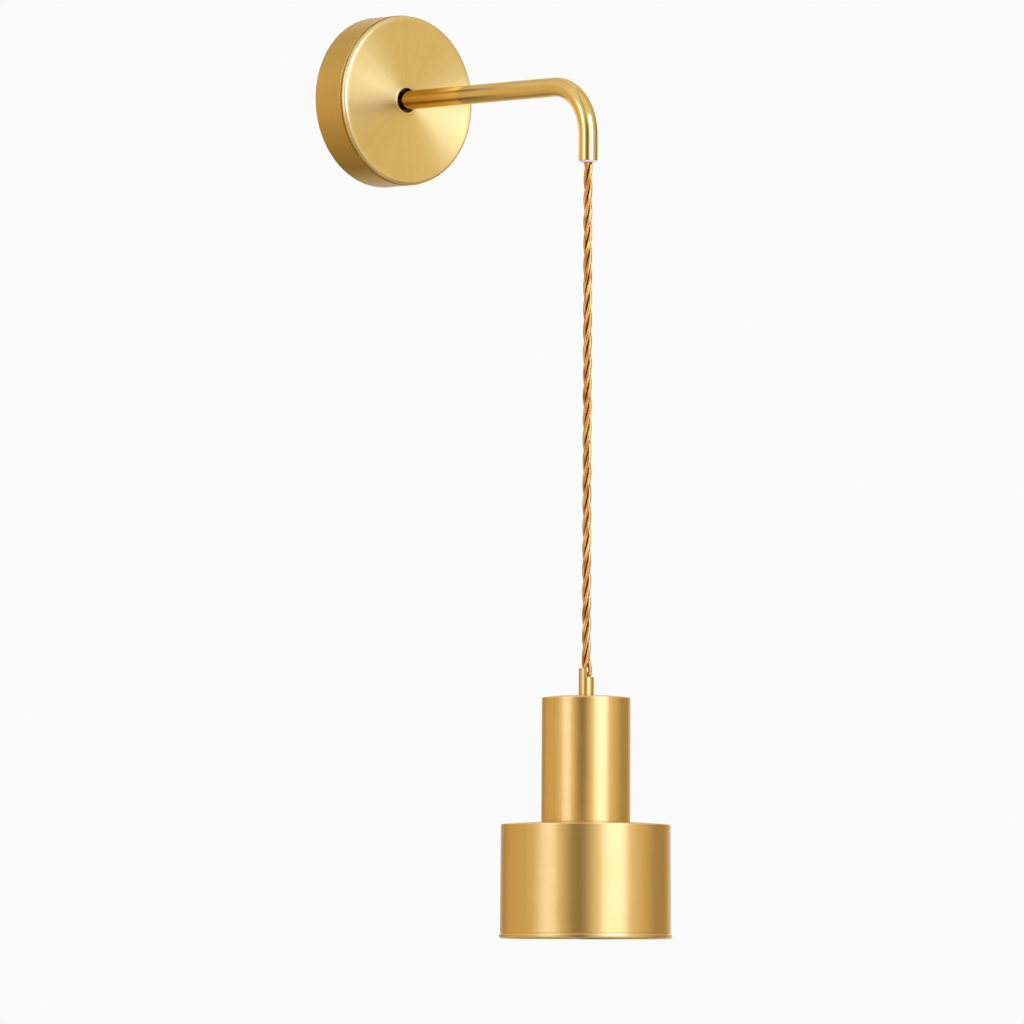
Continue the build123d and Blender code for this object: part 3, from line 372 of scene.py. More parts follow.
marked = add(turned_form, "GeometryNodeStoreNamedAttribute", {
    "Geometry": grid.outputs["Mesh"], "Name": "edge", "Value": eased_row.outputs[0],
}, data_type="FLOAT", domain="POINT")
wound = add(turned_form, "GeometryNodeSetPosition", {0: marked.outputs[0], 2: target.outputs[0]})
closed = add(turned_form, "GeometryNodeMergeByDistance", {
    "Geometry": wound.outputs[0], "Distance": 0.000002,
})
smooth = add(turned_form, "GeometryNodeSetShadeSmooth", {0: closed.outputs[0], 2: True})
crease = add(turned_form, "ShaderNodeMath", {
    0: add(turned_form, "GeometryNodeInputMeshEdgeAngle").outputs[0], 1: radians(40),
}, operation="GREATER_THAN")
creased = add(turned_form, "GeometryNodeSetShadeSmooth", {
    0: smooth.outputs[0], 1: crease.outputs[0], 2: False,
}, domain="EDGE")
end_tree(turned_form, creased.outputs[0], inputs["Finish"])


def turned(node, corners, finish, placed, body, steps=160, pitch=1.0, depth=0.0):
    """A turned piece in place of a CAD node, from the corners of its half outline in
    millimetres: radius, height, rounding, and whether the run to the next is threaded."""
    arc_step = radians(12)
    points_a_thread = 12
    longest_run, end_strip = 2.0, 0.25  # a longer run gets a narrow strip at each end
    line = []
    befores, afters = corners[-1:] + corners[:-1], corners[1:] + corners[:1]
    for before, here, after in zip(befores, corners, afters):
        spot = Vector(here[:2])
        back = (Vector(before[:2]) - spot).normalized()
        on = (Vector(after[:2]) - spot).normalized()
        rounding, screwed = here[2], len(here) > 3
        if rounding == 0.0:
            line.append((spot, screwed, 0.0))
            continue
        half = back.angle(on) / 2
        centre = spot + (back + on).normalized() * (rounding / sin(half))
        first = spot + back * (rounding / tan(half)) - centre
        last = spot + on * (rounding / tan(half)) - centre
        swept = -first.angle_signed(last)
        count = max(4, round(abs(swept) / arc_step))
        for n in range(count + 1):
            turned_by = Matrix.Rotation(swept * n / count, 2)
            middling = sin(pi * n / count) ** 0.5
            line.append((centre + turned_by @ first, screwed and n == count, middling))
    points, threads, edges = [], [], []
    for (start, screwed, edge), (end, _, _) in zip(line, line[1:] + line[:1]):
        run = (end - start).length
        if screwed:
            count = max(1, round(run / pitch * points_a_thread))
            stops = [n / count for n in range(count)]
        elif run > longest_run:
            stops = [0.0, end_strip / run, 1 - end_strip / run]
        else:
            stops = [0.0]
        for part in stops:
            spot = start.lerp(end, part)
            points.append((spot.x / 1000, 0.0, spot.y / 1000))
            runout = min(part, 1 - part) * run / pitch if screwed else 0.0
            threads.append(min(1.0, runout))
            edges.append(edge if part == 0.0 else 0.0)
    for numbers in (points, threads, edges):
        numbers.append(numbers[0])
    area = sum(a[0] * b[2] - b[0] * a[2] for a, b in zip(points, points[1:]))
    if area < 0:
        for numbers in (points, threads, edges):
            numbers.reverse()
    piece = grow(turned_form, node + "_turned", points, placed,
                 {"thread": threads, "edge": edges},
                 Steps=steps, Pitch=pitch / 1000, Depth=depth / 1000, Finish=finish)
    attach(piece, body)
    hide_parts(node)


def crowned(low, height, edge, radii, drop=0.0):
    """Corners along a shallow dome or dish, whose edge radius stands at a low height."""
    return [(r, low + height * (1 - (r / edge) ** 2) - drop, 0.0) for r in radii]


# The drum is painted a deeper, more golden tone than the lid: painted shade for the darker
# surroundings it mirrors.
drum_brass_painted_shade = spun_brass(
    "drum_spun_brass", (0.0, 0.0, 0.0), (0.0, 1.0, 0.0), "#D3AB50", "#DBB55D")
lid_brass = spun_brass(
    "lid_spun_brass", (0.0, 0.0, 0.0), (0.0, 1.0, 0.0), "#F3D887", "#FAE296")
dress(drum_brass_painted_shade, "canopy_band")
from_wall = Matrix.Rotation(radians(90), 4, "X")  # heights go out from the wall

# The lid's face is dished towards the arm, and a low collar stands round its eye. Its skirt
# slides into the drum, and the groove before the skirt shows as a dark line round the lid.
sheet = 1.0
lid_radius, lid_front, rim_rounding = 60.5, 31.6, 2.5
face_edge, dish = 58.0, 2.5
eye_radius, eye_back, collar_radius, collar_front = 8.75, 28.0, 10.3, 29.5
rim_bore, rim_floor = 59.3, 30.5
skirt_radius, skirt_end = 59.85, 16.7
groove_radius, groove_back, groove_front = 57.4, 26.2, 28.4
face_radii = [56.0, 53.0, 50.0, 42.0, 34.0, 26.0, 18.0, 12.0]
turned("canopy_lid", (
    [(skirt_radius, skirt_end, 0.2), (skirt_radius, groove_back, 0.3),
     (groove_radius, groove_back, 0.4), (groove_radius, groove_front, 0.3),
     (lid_radius, groove_front, 0.2), (lid_radius, lid_front, rim_rounding)]
    + crowned(lid_front, -dish, face_edge, face_radii)
    + [(collar_radius + 0.2, 29.18, 0.15), (collar_radius, collar_front, 0.2),
       (eye_radius, collar_front, 0.35), (eye_radius, eye_back, 0.1)]
    + crowned(lid_front, -dish, face_edge, face_radii[::-1], drop=sheet)
    + [(rim_bore, rim_floor, 1.5), (rim_bore, groove_front + 0.4, 0.3),
       (groove_radius - sheet, groove_front + 0.4, 0.4),
       (groove_radius - sheet, groove_back - sheet, 0.4),
       (skirt_radius - sheet, groove_back - sheet, 0.3), (skirt_radius - sheet, skirt_end, 0.2)]
), lid_brass, from_wall, "wall_arm", steps=200)


# --------------------------------------------------------------- arm
# Drawn brass tube, bent cold and buffed lengthwise, with the same lacquer. It is smoother
# than the spun pieces, so its reflections are narrow stripes along it. A threaded stub is
# brazed into its inner end. Near the lid the tube is painted a deeper gold, browned on top:
# painted reflections.
drawn_brass, tree = start_material("drawn_brass")
place = add(tree, "ShaderNodeTexCoord").outputs["Object"]
cloud = add(tree, "ShaderNodeTexNoise", {"Vector": place, "Scale": marks(16.67), "Detail": 3.0})
tint = add(tree, "ShaderNodeMix", {
    0: cloud.outputs["Fac"], 6: colour("#EDCC80"), 7: colour("#F4D78E"),
}, data_type="RGBA")
reach = add(tree, "ShaderNodeSeparateXYZ", {0: place})
# Painted reflection: a deeper gold over the stretch of tube nearest the lid.
painted_reflection_near_lid = add(tree, "ShaderNodeMapRange", {
    "Value": reach.outputs["Y"], "From Min": -0.120, "From Max": -0.050,
}, interpolation_type="SMOOTHSTEP")
gold_with_painted_reflection = add(tree, "ShaderNodeMix", {
    0: painted_reflection_near_lid.outputs["Result"], 6: tint.outputs[2], 7: colour("#C89A4C"),
}, data_type="RGBA")
# Painted reflection: the upper half of the tube is browned near the lid.
upper_side = add(tree, "ShaderNodeMapRange", {
    "Value": reach.outputs["Z"], "From Min": 0.0, "From Max": 0.0035,
}, interpolation_type="SMOOTHSTEP")
inner_run = add(tree, "ShaderNodeMapRange", {
    "Value": reach.outputs["Y"], "From Min": -0.100, "From Max": -0.060,
}, interpolation_type="SMOOTHSTEP")
painted_reflection_on_top = add(tree, "ShaderNodeMath", {
    0: upper_side.outputs["Result"], 1: inner_run.outputs["Result"],
}, operation="MULTIPLY")

# Two painted reflections run along the tube near the lid as dark lines, one above the middle
# and one below, reaching further out than the painted browning on top.
line_above, line_below, line_width, line_core = 0.0025, 0.0033, 0.0034, 0.0006
level = add(tree, "ShaderNodeMath", {
    0: reach.outputs["Z"], 1: (line_below - line_above) / 2,
}, operation="ADD")
from_middle = add(tree, "ShaderNodeMath", {0: level.outputs[0]}, operation="ABSOLUTE")
off_line = add(tree, "ShaderNodeMath", {
    0: from_middle.outputs[0], 1: (line_below + line_above) / 2,
}, operation="SUBTRACT")
beside = add(tree, "ShaderNodeMath", {0: off_line.outputs[0]}, operation="ABSOLUTE")
painted_line_reflection = add(tree, "ShaderNodeMapRange", {
    "Value": beside.outputs[0], "From Min": line_width / 2, "From Max": line_core / 2,
    "To Max": 0.85,
}, interpolation_type="SMOOTHSTEP")
line_run = add(tree, "ShaderNodeMapRange", {
    "Value": reach.outputs["Y"], "From Min": -0.165, "From Max": -0.090,
}, interpolation_type="SMOOTHSTEP")
darkened = add(tree, "ShaderNodeMath", {
    0: painted_line_reflection.outputs["Result"], 1: line_run.outputs["Result"],
}, operation="MULTIPLY")
painted_reflection_mask = add(tree, "ShaderNodeMath", {
    0: painted_reflection_on_top.outputs[0], 1: darkened.outputs[0],
}, operation="MAXIMUM")
# The painted reflections turn the brass brown.
brass_with_painted_reflections = add(tree, "ShaderNodeMix", {
    0: painted_reflection_mask.outputs[0], 6: gold_with_painted_reflection.outputs[2], 7: colour("#835E2C"),
}, data_type="RGBA")
gloss = add(tree, "ShaderNodeMapRange", {
    "Value": cloud.outputs["Fac"], "To Min": 0.09, "To Max": 0.14,
})
# The lacquer is thinner over the same painted stretch near the lid.
lacquer = add(tree, "ShaderNodeMapRange", {
    "Value": painted_reflection_near_lid.outputs["Result"], "To Min": 0.6, "To Max": 0.1,
})
end_material(tree, add(tree, "ShaderNodeBsdfPrincipled", {
    "Base Color": brass_with_painted_reflections.outputs[2],
    "Metallic": 1.0,
    "Roughness": gloss.outputs["Result"],
    "Coat Weight": lacquer.outputs["Result"],
    "Coat Roughness": 0.1,
    "Specular Tint": colour("#F0CE8A"),
}))
dress(drawn_brass, "arm_tube")

# The stub is a threaded shank through the bracket, a ring that stops against it, and a
# spigot inside the tube.
stub_bore, shank_radius, shank_end = 3.7, 5.0, 14.5
tube_radius, stop_back, stop_front = 6.75, 22.0, 24.0
spigot_radius, spigot_end = 5.5, 36.0
turned("arm_stub", [
    (stub_bore, shank_end, 0.0), (4.7, shank_end, 0.0), (shank_radius, 14.9, 0.0, True),
    (shank_radius, stop_back, 0.0), (tube_radius, stop_back, 0.2),
    (tube_radius, stop_front, 0.0), (spigot_radius, stop_front, 0.0),
    (spigot_radius, spigot_end, 0.2), (stub_bore, spigot_end, 0.0),
], turned_brass, from_wall, "wall_arm", steps=64, pitch=1.0, depth=0.45)


# --------------------------------------------------------------- cord
# Three cores, each in a glossy rayon braid, twisted together to the right and pulled
# straight by the lamp. Its silky shine is partly painted as paler streaks along the
# cores, and painted shade makes the crevices between the cores almost black.
def gold_rayon(name, spot, proud):
    """Gold rayon braid, from a place in metres and how far the surface stands out."""
    material, tree = start_material(name)
    spot, proud = spot(tree), proud(tree)
    # Yarns of a braid cross in squares of 0.83 mm, about seven round each core.
    slant = add(tree, "ShaderNodeMapping", {
        "Vector": spot, "Rotation": (0.0, 0.0, radians(45)), "Scale": [marks(1 / 1.2)] * 3,
    })
    crossing = add(tree, "ShaderNodeTexChecker", {"Vector": slant.outputs[0], "Scale": 1.0})
    lanes = add(tree, "ShaderNodeSeparateXYZ", {0: slant.outputs[0]})
    humps = []
    for side in ("X", "Y"):
        lane = add(tree, "ShaderNodeMath", {0: lanes.outputs[side]}, operation="FRACT")
        half_turn = add(tree, "ShaderNodeMath", {0: lane.outputs[0], 1: pi}, operation="MULTIPLY")
        humps.append(add(tree, "ShaderNodeMath", {0: half_turn.outputs[0]}, operation="SINE"))
    yarn = add(tree, "ShaderNodeMix", {
        0: crossing.outputs["Fac"], 2: humps[0].outputs[0], 3: humps[1].outputs[0],
    }, data_type="FLOAT")
    # Paler and darker streaks stand for the yarns' threads and, as painted highlight, their
    # shine; the threads are too fine to show, so the streaks are 1.1 mm wide.
    lengthwise = add(tree, "ShaderNodeMapping", {
        "Vector": spot, "Scale": (marks(11.11), marks(1.111), marks(1.111)),
    })
    streaks = add(tree, "ShaderNodeTexNoise", {
        "Vector": lengthwise.outputs[0], "Scale": 1.0, "Detail": 3.0, "Roughness": 0.6,
    })
    painted_highlight_streaks = add(tree, "ShaderNodeMapRange", {
        "Value": streaks.outputs["Fac"], "From Min": 0.38, "From Max": 0.62,
    })
    relief = add(tree, "ShaderNodeMath", {
        0: yarn.outputs[0], 1: 0.35, 2: painted_highlight_streaks.outputs["Result"],
    }, operation="MULTIPLY_ADD")
    braid_with_painted_highlights = add(tree, "ShaderNodeMix", {
        0: painted_highlight_streaks.outputs["Result"], 6: colour("#B4661A"), 7: colour("#FFD580"),
    }, data_type="RGBA")
    # Painted shade: the braid turns near black where it sinks in between the cores.
    deep = add(tree, "ShaderNodeMapRange", {
        "Value": proud, "From Min": 0.42, "From Max": 0.68,
    }, interpolation_type="SMOOTHSTEP")
    shaded = add(tree, "ShaderNodeMix", {
        0: deep.outputs["Result"], 6: colour("#140802"), 7: braid_with_painted_highlights.outputs[2],
    }, data_type="RGBA")
    rise = add(tree, "ShaderNodeBump", {
        "Strength": 0.5, "Distance": 0.00012, "Height": relief.outputs[0],
    })
    end_material(tree, add(tree, "ShaderNodeBsdfPrincipled", {
        "Base Color": shaded.outputs[2],
        "Metallic": 0.85,
        "Roughness": 0.25,
        "Specular Tint": colour("#FFE2B0"),
        "Normal": rise.outputs["Normal"],
    }))
    return material


hidden_braid = gold_rayon(
    "gold_rayon_braid",
    lambda tree: add(tree, "ShaderNodeTexCoord").outputs["Object"],
    lambda tree: 1.0,
)
dress(hidden_braid, "cord_in_arm", "cord_tail")
core_braid = gold_rayon(
    "gold_rayon_core_braid",
    lambda tree: add(tree, "ShaderNodeTexCoord").outputs["UV"],
    lambda tree: add(tree, "ShaderNodeAttribute", attribute_name="proud").outputs["Fac"],
)

# The cores follow a middle line, each on its own helix. They spread a little above the
# grip's mouth, where they are pressed into its bore.
twisted_cores, inputs = start_tree(
    "twisted_cores", Cores="Int", Core_Radius="Float", Ring_Radius="Float", Lay="Float",
    Phase="Float", Spread="Float", Step="Float", Finish="Material")
middle_line = add(twisted_cores, "GeometryNodeMeshToCurve", {"Mesh": inputs["Geometry"]})
even = add(twisted_cores, "GeometryNodeResampleCurve", {
    "Curve": middle_line.outputs[0], "Length": inputs["Step"],
}, mode="LENGTH")
run = add(twisted_cores, "GeometryNodeSplineParameter").outputs["Length"]
whole_run = add(twisted_cores, "GeometryNodeSplineLength").outputs["Length"]
still_to_go = add(twisted_cores, "ShaderNodeMath", {0: whole_run, 1: run}, operation="SUBTRACT")
fanning = add(twisted_cores, "ShaderNodeMapRange", {
    "Value": still_to_go.outputs[0], "From Min": 0.016, "From Max": 0.004,
}, interpolation_type="SMOOTHSTEP")
gathering = add(twisted_cores, "ShaderNodeMapRange", {
    "Value": still_to_go.outputs[0], "From Min": 0.0005, "From Max": 0.003,
}, interpolation_type="SMOOTHSTEP")
fan = add(twisted_cores, "ShaderNodeMath", {
    0: fanning.outputs["Result"], 1: gathering.outputs["Result"],
}, operation="MULTIPLY")
wider = add(twisted_cores, "ShaderNodeMath", {
    0: fan.outputs[0], 1: inputs["Spread"], 2: inputs["Ring_Radius"],
}, operation="MULTIPLY_ADD")
middle = add(twisted_cores, "GeometryNodeStoreNamedAttribute", {
    "Geometry": even.outputs[0], "Name": "middle",
    "Value": add(twisted_cores, "GeometryNodeInputPosition").outputs[0],
}, data_type="FLOAT_VECTOR", domain="POINT")
cores = add(twisted_cores, "GeometryNodeDuplicateElements", {
    "Geometry": middle.outputs[0], "Amount": inputs["Cores"],
}, domain="SPLINE")
turns = add(twisted_cores, "ShaderNodeMath", {0: run, 1: inputs["Lay"]}, operation="DIVIDE")
core_share = add(twisted_cores, "ShaderNodeMath", {
    0: cores.outputs["Duplicate Index"], 1: inputs["Cores"],
}, operation="DIVIDE")
helix = add(twisted_cores, "ShaderNodeMath", {
    0: turns.outputs[0], 1: core_share.outputs[0],
}, operation="ADD")
whole = add(twisted_cores, "ShaderNodeMath", {
    0: helix.outputs[0], 1: inputs["Phase"],
}, operation="ADD")
bearing = add(twisted_cores, "ShaderNodeMath", {
    0: whole.outputs[0], 1: 2 * pi,
}, operation="MULTIPLY")
ahead = add(twisted_cores, "GeometryNodeInputTangent").outputs[0]
side = add(twisted_cores, "GeometryNodeInputNormal").outputs[0]
aside = add(twisted_cores, "ShaderNodeVectorMath", {
    0: side, "Scale": wider.outputs[0],
}, operation="SCALE")
round_line = add(twisted_cores, "ShaderNodeVectorRotate", {
    "Vector": aside.outputs[0], "Axis": ahead, "Angle": bearing.outputs[0],
})
laid = add(twisted_cores, "GeometryNodeSetPosition", {
    "Geometry": cores.outputs[0], "Offset": round_line.outputs[0],
})
along = add(twisted_cores, "GeometryNodeStoreNamedAttribute", {
    "Geometry": laid.outputs[0], "Name": "along", "Value": run,
}, data_type="FLOAT", domain="POINT")
arc = add(twisted_cores, "GeometryNodeCurveArc", {
    0: 15, 4: inputs["Core_Radius"], 5: 0.0, 6: 2 * pi,
})
around = add(twisted_cores, "GeometryNodeStoreNamedAttribute", {
    "Geometry": arc.outputs[0], "Name": "around", "Value": run,
}, data_type="FLOAT", domain="POINT")
skin = add(twisted_cores, "GeometryNodeCurveToMesh", {
    "Curve": along.outputs[0], "Profile Curve": around.outputs[0], "Fill Caps": True,
})
line_middle = add(twisted_cores, "GeometryNodeInputNamedAttribute", {
    0: "middle",
}, data_type="FLOAT_VECTOR")
far_out = add(twisted_cores, "ShaderNodeVectorMath", {
    0: add(twisted_cores, "GeometryNodeInputPosition").outputs[0], 1: line_middle.outputs[0],
}, operation="DISTANCE")
widest = add(twisted_cores, "ShaderNodeMath", {
    0: inputs["Core_Radius"], 1: inputs["Ring_Radius"],
}, operation="ADD")
proud = add(twisted_cores, "ShaderNodeMath", {
    0: far_out.outputs["Value"], 1: widest.outputs[0],
}, operation="DIVIDE")
marked = add(twisted_cores, "GeometryNodeStoreNamedAttribute", {
    "Geometry": skin.outputs[0], "Name": "proud", "Value": proud.outputs[0],
}, data_type="FLOAT", domain="POINT")
length_on_core, length_round_core = [
    add(twisted_cores, "GeometryNodeInputNamedAttribute", {0: name}, data_type="FLOAT").outputs[0]
    for name in ("along", "around")
]
spot_on_core = add(twisted_cores, "ShaderNodeCombineXYZ", {
    0: length_on_core, 1: length_round_core,
})
mapped = add(twisted_cores, "GeometryNodeStoreNamedAttribute", {
    "Geometry": marked.outputs[0], "Name": "UVMap", "Value": spot_on_core.outputs[0],
}, data_type="FLOAT2", domain="CORNER")
joined = add(twisted_cores, "GeometryNodeMergeByDistance", {
    "Geometry": mapped.outputs[0], "Distance": 0.000002,
})
soft = add(twisted_cores, "GeometryNodeSetShadeSmooth", {0: joined.outputs[0], 2: True})
end_tree(twisted_cores, soft.outputs[0], inputs["Finish"])


core_radius = 0.0014
ring_radius = 0.00178  # from the cord's middle line to the middle of each core
lay = 0.046  # the cord's length for one turn


def twist(name, points, phase, spread):
    """Three twisted cores along points, from a phase in turns."""
    return grow(twisted_cores, name, points, Matrix.Identity(4), Cores=3,
                Core_Radius=core_radius, Ring_Radius=ring_radius, Lay=lay, Phase=phase,
                Spread=spread, Step=0.0012, Finish=core_braid)


def smooth_line(route):
    """Points read from the smooth line that a route of control points makes."""
    line = bpy.data.curves.new("cord_line", "CURVE")
    line.dimensions = "3D"
    line.resolution_u = 40
    spline = line.splines.new("NURBS")
    spline.points.add(len(route) - 1)
    for point, spot in zip(spline.points, route):
        point.co = (*spot, 1.0)
    spline.order_u = 3
    spline.use_endpoint_u = True
    guide = bpy.data.objects.new("cord_line", line)
    bpy.context.scene.collection.objects.link(guide)
    guide_mesh = bpy.data.meshes.new_from_object(
        guide.evaluated_get(bpy.context.evaluated_depsgraph_get()))
    points = [vertex.co.copy() for vertex in guide_mesh.vertices]
    bpy.data.objects.remove(guide)
    bpy.data.meshes.remove(guide_mesh)
    return points


# The short bending place in the bush's mouth. It starts 0.8 mm further down than the free
# stretch, and its twist is turned on by as much, so that the cores meet.
neck = twist("cord_neck_cores", smooth_line([
    (0.0, -0.226, -0.0545), (0.0, -0.226, -0.0560), (0.0, -0.226, -0.0575),
]), phase=0.0008 / lay, spread=0.0)
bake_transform(neck)
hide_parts("cord_neck")

# The free stretch, from inside the bush to the grip's bore.
path = smooth_line([
    (0.0, -0.226, -0.0537), (0.0, -0.226, -0.0942), (0.0, -0.226, -0.3784), (0.0, -0.226, -0.4186),
])
cord = twist("twisted_cord", path, phase=0.0, spread=0.0009)
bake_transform(cord)
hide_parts("cord_drop")


# --------------------------------------------------------------- cup
# Slim spun brass cylinder with a low crown and a flat seat for the grip, satin finished and
# lacquered as the canopy is. It is clamped by its top, and its open end stands on the shade.
pendant_brass = spun_brass(
    "pendant_spun_brass", (0.0, -0.226, 0.0), (0.0, 0.0, 1.0), "#EBC77A", "#F3D185")
dress(pendant_brass, "grip_body")

on_lamp = Matrix.Translation((0.0, -0.226, 0.0))  # heights are the frame's own
cup_radius, cup_top_radius, cup_mouth, cup_seat = 31.3, 31.1, -519.0, -430.1
crown, crown_run = 1.7, 23.8
seat_radius, rod_hole = 6.5, 4.2
cup_top = [
    (radius, cup_seat - crown * ((radius - seat_radius) / crown_run) ** 2, 0.0)
    for radius in (29.0, 26.0, 22.0, 18.0, 14.0, 10.0)
]
turned("cup", (
    [(cup_radius, cup_mouth, 0.3), (cup_top_radius, cup_seat - crown, 0.8)] + cup_top
    + [(seat_radius, cup_seat, 0.0), (rod_hole, cup_seat, 0.1),
       (rod_hole, cup_seat - sheet, 0.1), (seat_radius, cup_seat - sheet, 0.0)]
    + [(radius, height - sheet, 0.0) for radius, height, _ in reversed(cup_top)]
    + [(cup_top_radius - sheet, cup_seat - crown - sheet, 0.5),
       (cup_radius - sheet, cup_mouth, 0.3)]
), pendant_brass, on_lamp, "lamp", steps=160)


# --------------------------------------------------------------- threaded rod
# Hollow brass rod, threaded all along. It screws into the grip, and the cup, its nut and
# the lampholder's cap are clamped on it.
rod_bore, rod_radius, rod_end, rod_top = 3.0, 4.0, -477.83, -425.15
turned("threaded_rod", [
    (rod_bore, rod_end, 0.2), (rod_radius, rod_end, 0.2, True), (rod_radius, rod_top, 0.2),
    (rod_bore, rod_top, 0.2),
], turned_brass, on_lamp, "lamp", steps=64, pitch=1.0, depth=0.5)


# --------------------------------------------------------------- lampholder
# Cap and body are moulded from black phenolic, which is glossy with a faint ripple from
# the mould. The body's skirt carries a coarse thread for the shade ring.
black_phenolic, tree = start_material("black_phenolic")
place = add(tree, "ShaderNodeTexCoord").outputs["Object"]
ripple = add(tree, "ShaderNodeTexNoise", {"Vector": place, "Scale": marks(3.846), "Detail": 1.0})
dust = add(tree, "ShaderNodeTexNoise", {"Vector": place, "Scale": marks(1.111), "Detail": 3.0})
dusty = add(tree, "ShaderNodeMix", {
    0: dust.outputs["Fac"], 6: colour("#161413"), 7: colour("#23201E"),
}, data_type="RGBA")
duller = add(tree, "ShaderNodeMapRange", {
    "Value": dust.outputs["Fac"], "To Min": 0.20, "To Max": 0.36,
})
rise = add(tree, "ShaderNodeBump", {
    "Strength": 0.15, "Distance": 0.00005, "Height": ripple.outputs["Fac"],
})
end_material(tree, add(tree, "ShaderNodeBsdfPrincipled", {
    "Base Color": dusty.outputs[2],
    "Roughness": duller.outputs["Result"],
    "Normal": rise.outputs["Normal"],
}))
dress(black_phenolic, "holder_cap", "shade_ring")

# The shade's top is clamped against the body's flange, at this height.
flange_height = -518.635
flange_radius, flange_back = 22.0, flange_height + 3.5
barrel_bore, barrel_radius, barrel_top = 15.6, 17.5, flange_height + 27.0
holder_skirt_bore, holder_skirt_radius, holder_skirt_end = 17.45, 19.75, flange_height - 22.5
turned("holder_body", [
    (barrel_bore, barrel_top, 0.2), (barrel_radius, barrel_top, 0.2),
    (barrel_radius, flange_back + 1.5, 0.4), (flange_radius, flange_back, 0.4),
    (flange_radius, flange_height, 0.0), (holder_skirt_radius, flange_height, 0.0, True),
    (holder_skirt_radius, holder_skirt_end, 0.8), (holder_skirt_bore, holder_skirt_end, 0.8),
    (holder_skirt_bore, flange_back, 0.2), (barrel_bore, flange_back, 0.2),
], black_phenolic, on_lamp, "lamp", steps=120, pitch=2.5, depth=1.0)

# The insert is glazed porcelain, warm white and wet looking.
porcelain, tree = start_material("glazed_porcelain")
place = add(tree, "ShaderNodeTexCoord").outputs["Object"]
cloud = add(tree, "ShaderNodeTexNoise", {"Vector": place, "Scale": marks(6.667), "Detail": 2.0})
tint = add(tree, "ShaderNodeMix", {
    0: cloud.outputs["Fac"], 6: colour("#E4E0D4"), 7: colour("#F1EEE6"),
}, data_type="RGBA")
glaze = add(tree, "ShaderNodeBump", {
    "Strength": 0.2, "Distance": 0.0001, "Height": cloud.outputs["Fac"],
})
end_material(tree, add(tree, "ShaderNodeBsdfPrincipled", {
    "Base Color": tint.outputs[2],
    "Roughness": 0.12,
    "Coat Weight": 1.0,
    "Coat Roughness": 0.05,
    "Normal": glaze.outputs["Normal"],
}))
dress(porcelain, "holder_insert")

# The screw shell is thin brass with its thread rolled through both faces.
shell_radius, shell_bore, shell_sheet, floor_hole = 13.9, 13.4, 0.5, 7.0
shell_floor, thread_start, shell_mouth = flange_height + 5.0, -515.6, flange_height - 19.5
turned("screw_shell", [
    (floor_hole, shell_floor, 0.0), (shell_radius, shell_floor, 0.3),
    (shell_radius, thread_start, 0.0, True), (shell_radius, shell_mouth, 0.0),
    (shell_bore, shell_mouth, 0.0, True), (shell_bore, thread_start, 0.0),
    (shell_bore, shell_floor - shell_sheet, 0.2), (floor_hole, shell_floor - shell_sheet, 0.0),
], turned_brass, on_lamp, "lamp", steps=96, pitch=3.63, depth=1.1)


# --------------------------------------------------------------- shade
# Wide spun brass cylinder with a low crown, an eased shoulder, and a lip turned out at
# the mouth to stiffen it.
shade_bore, shoulder_radius, shoulder_height = 59.0, 59.6, -520.84
shade_crown, crown_edge, holder_hole = 2.5, 58.8, 20.2
lip_end, lip_radius, lip_back = -600.94, 60.8, -597.9
groove_radius, groove_end, wall_radius, wall_end = 59.65, -597.2, 59.99, -596.9
shade_radii = [56.0, 50.0, 44.0, 38.0, 32.0, 26.0]
turned("shade", (
    [(lip_radius, lip_end, 1.3), (lip_radius, lip_back, 0.9),
     (groove_radius, lip_back + 0.1, 0.2), (groove_radius, groove_end, 0.1),
     (wall_radius, wall_end, 0.2), (shoulder_radius, shoulder_height, 0.8)]
    + crowned(shoulder_height, shade_crown, crown_edge, shade_radii)
    + [(holder_hole, flange_height, 0.1), (holder_hole, flange_height - sheet, 0.1)]
    + crowned(shoulder_height, shade_crown, crown_edge, shade_radii[::-1], drop=sheet)
    + [(shoulder_radius - sheet, -522.0, 0.8), (shade_bore, -597.5, 0.0),
       (shade_bore, lip_end, 0.3)]
), pendant_brass, on_lamp, "lamp", steps=200)


# --------------------------------------------------------------- camera
# A long lens 8 m away, level with the lamp's shade and to the left of the wall's normal.
# Its place and angle are fitted to the outlines of the canopy, the arm, the cup and the shade.
camera = bpy.data.objects.new("camera", bpy.data.cameras.new("camera"))
bpy.context.scene.collection.objects.link(camera)
eye = Vector((-5.33187, -6.29425, -0.66329))
aim = Vector((-0.04845, -0.20166, -0.30223))
roll = radians(0.215)
camera.matrix_world = (
    Matrix.Translation(eye)
    @ (aim - eye).to_track_quat("-Z", "Y").to_matrix().to_4x4()
    @ Matrix.Rotation(roll, 4, "Z")
)
camera.data.lens = 404.7
camera.data.sensor_width = 36.0
camera.data.clip_end = 60.0
bpy.context.scene.camera = camera


# --------------------------------------------------------------- room
# Soft boxes stand in front of the wall light and to its left, over a plain pale floor far
# below. Round them are warm walls, white cards, glowing screens and black flags for the
# brass to mirror.
def soft_box(name, place, aim, width, height, watts):
    """A soft box that faces a point."""
    light = bpy.data.lights.new(name, "AREA")
    light.shape = "RECTANGLE"
    light.size = width
    light.size_y = height
    light.energy = watts
    light.color = (0.80, 0.99, 1.80)  # daylight lamps in a warm room
    box = bpy.data.objects.new(name, light)
    bpy.context.scene.collection.objects.link(box)
    box.matrix_world = Matrix.Translation(place) @ (
        Vector(aim) - Vector(place)).to_track_quat("-Z", "Y").to_matrix().to_4x4()
    box.visible_camera = False


middle = (0.0, -0.15, -0.3)
soft_box("front_soft_box", (0.0, -2.73, 0.72), middle, width=1.7, height=2.0, watts=31.0)
soft_box("left_soft_box", (-2.2, -0.08, 0.30), middle, width=1.0, height=2.0, watts=6.2)

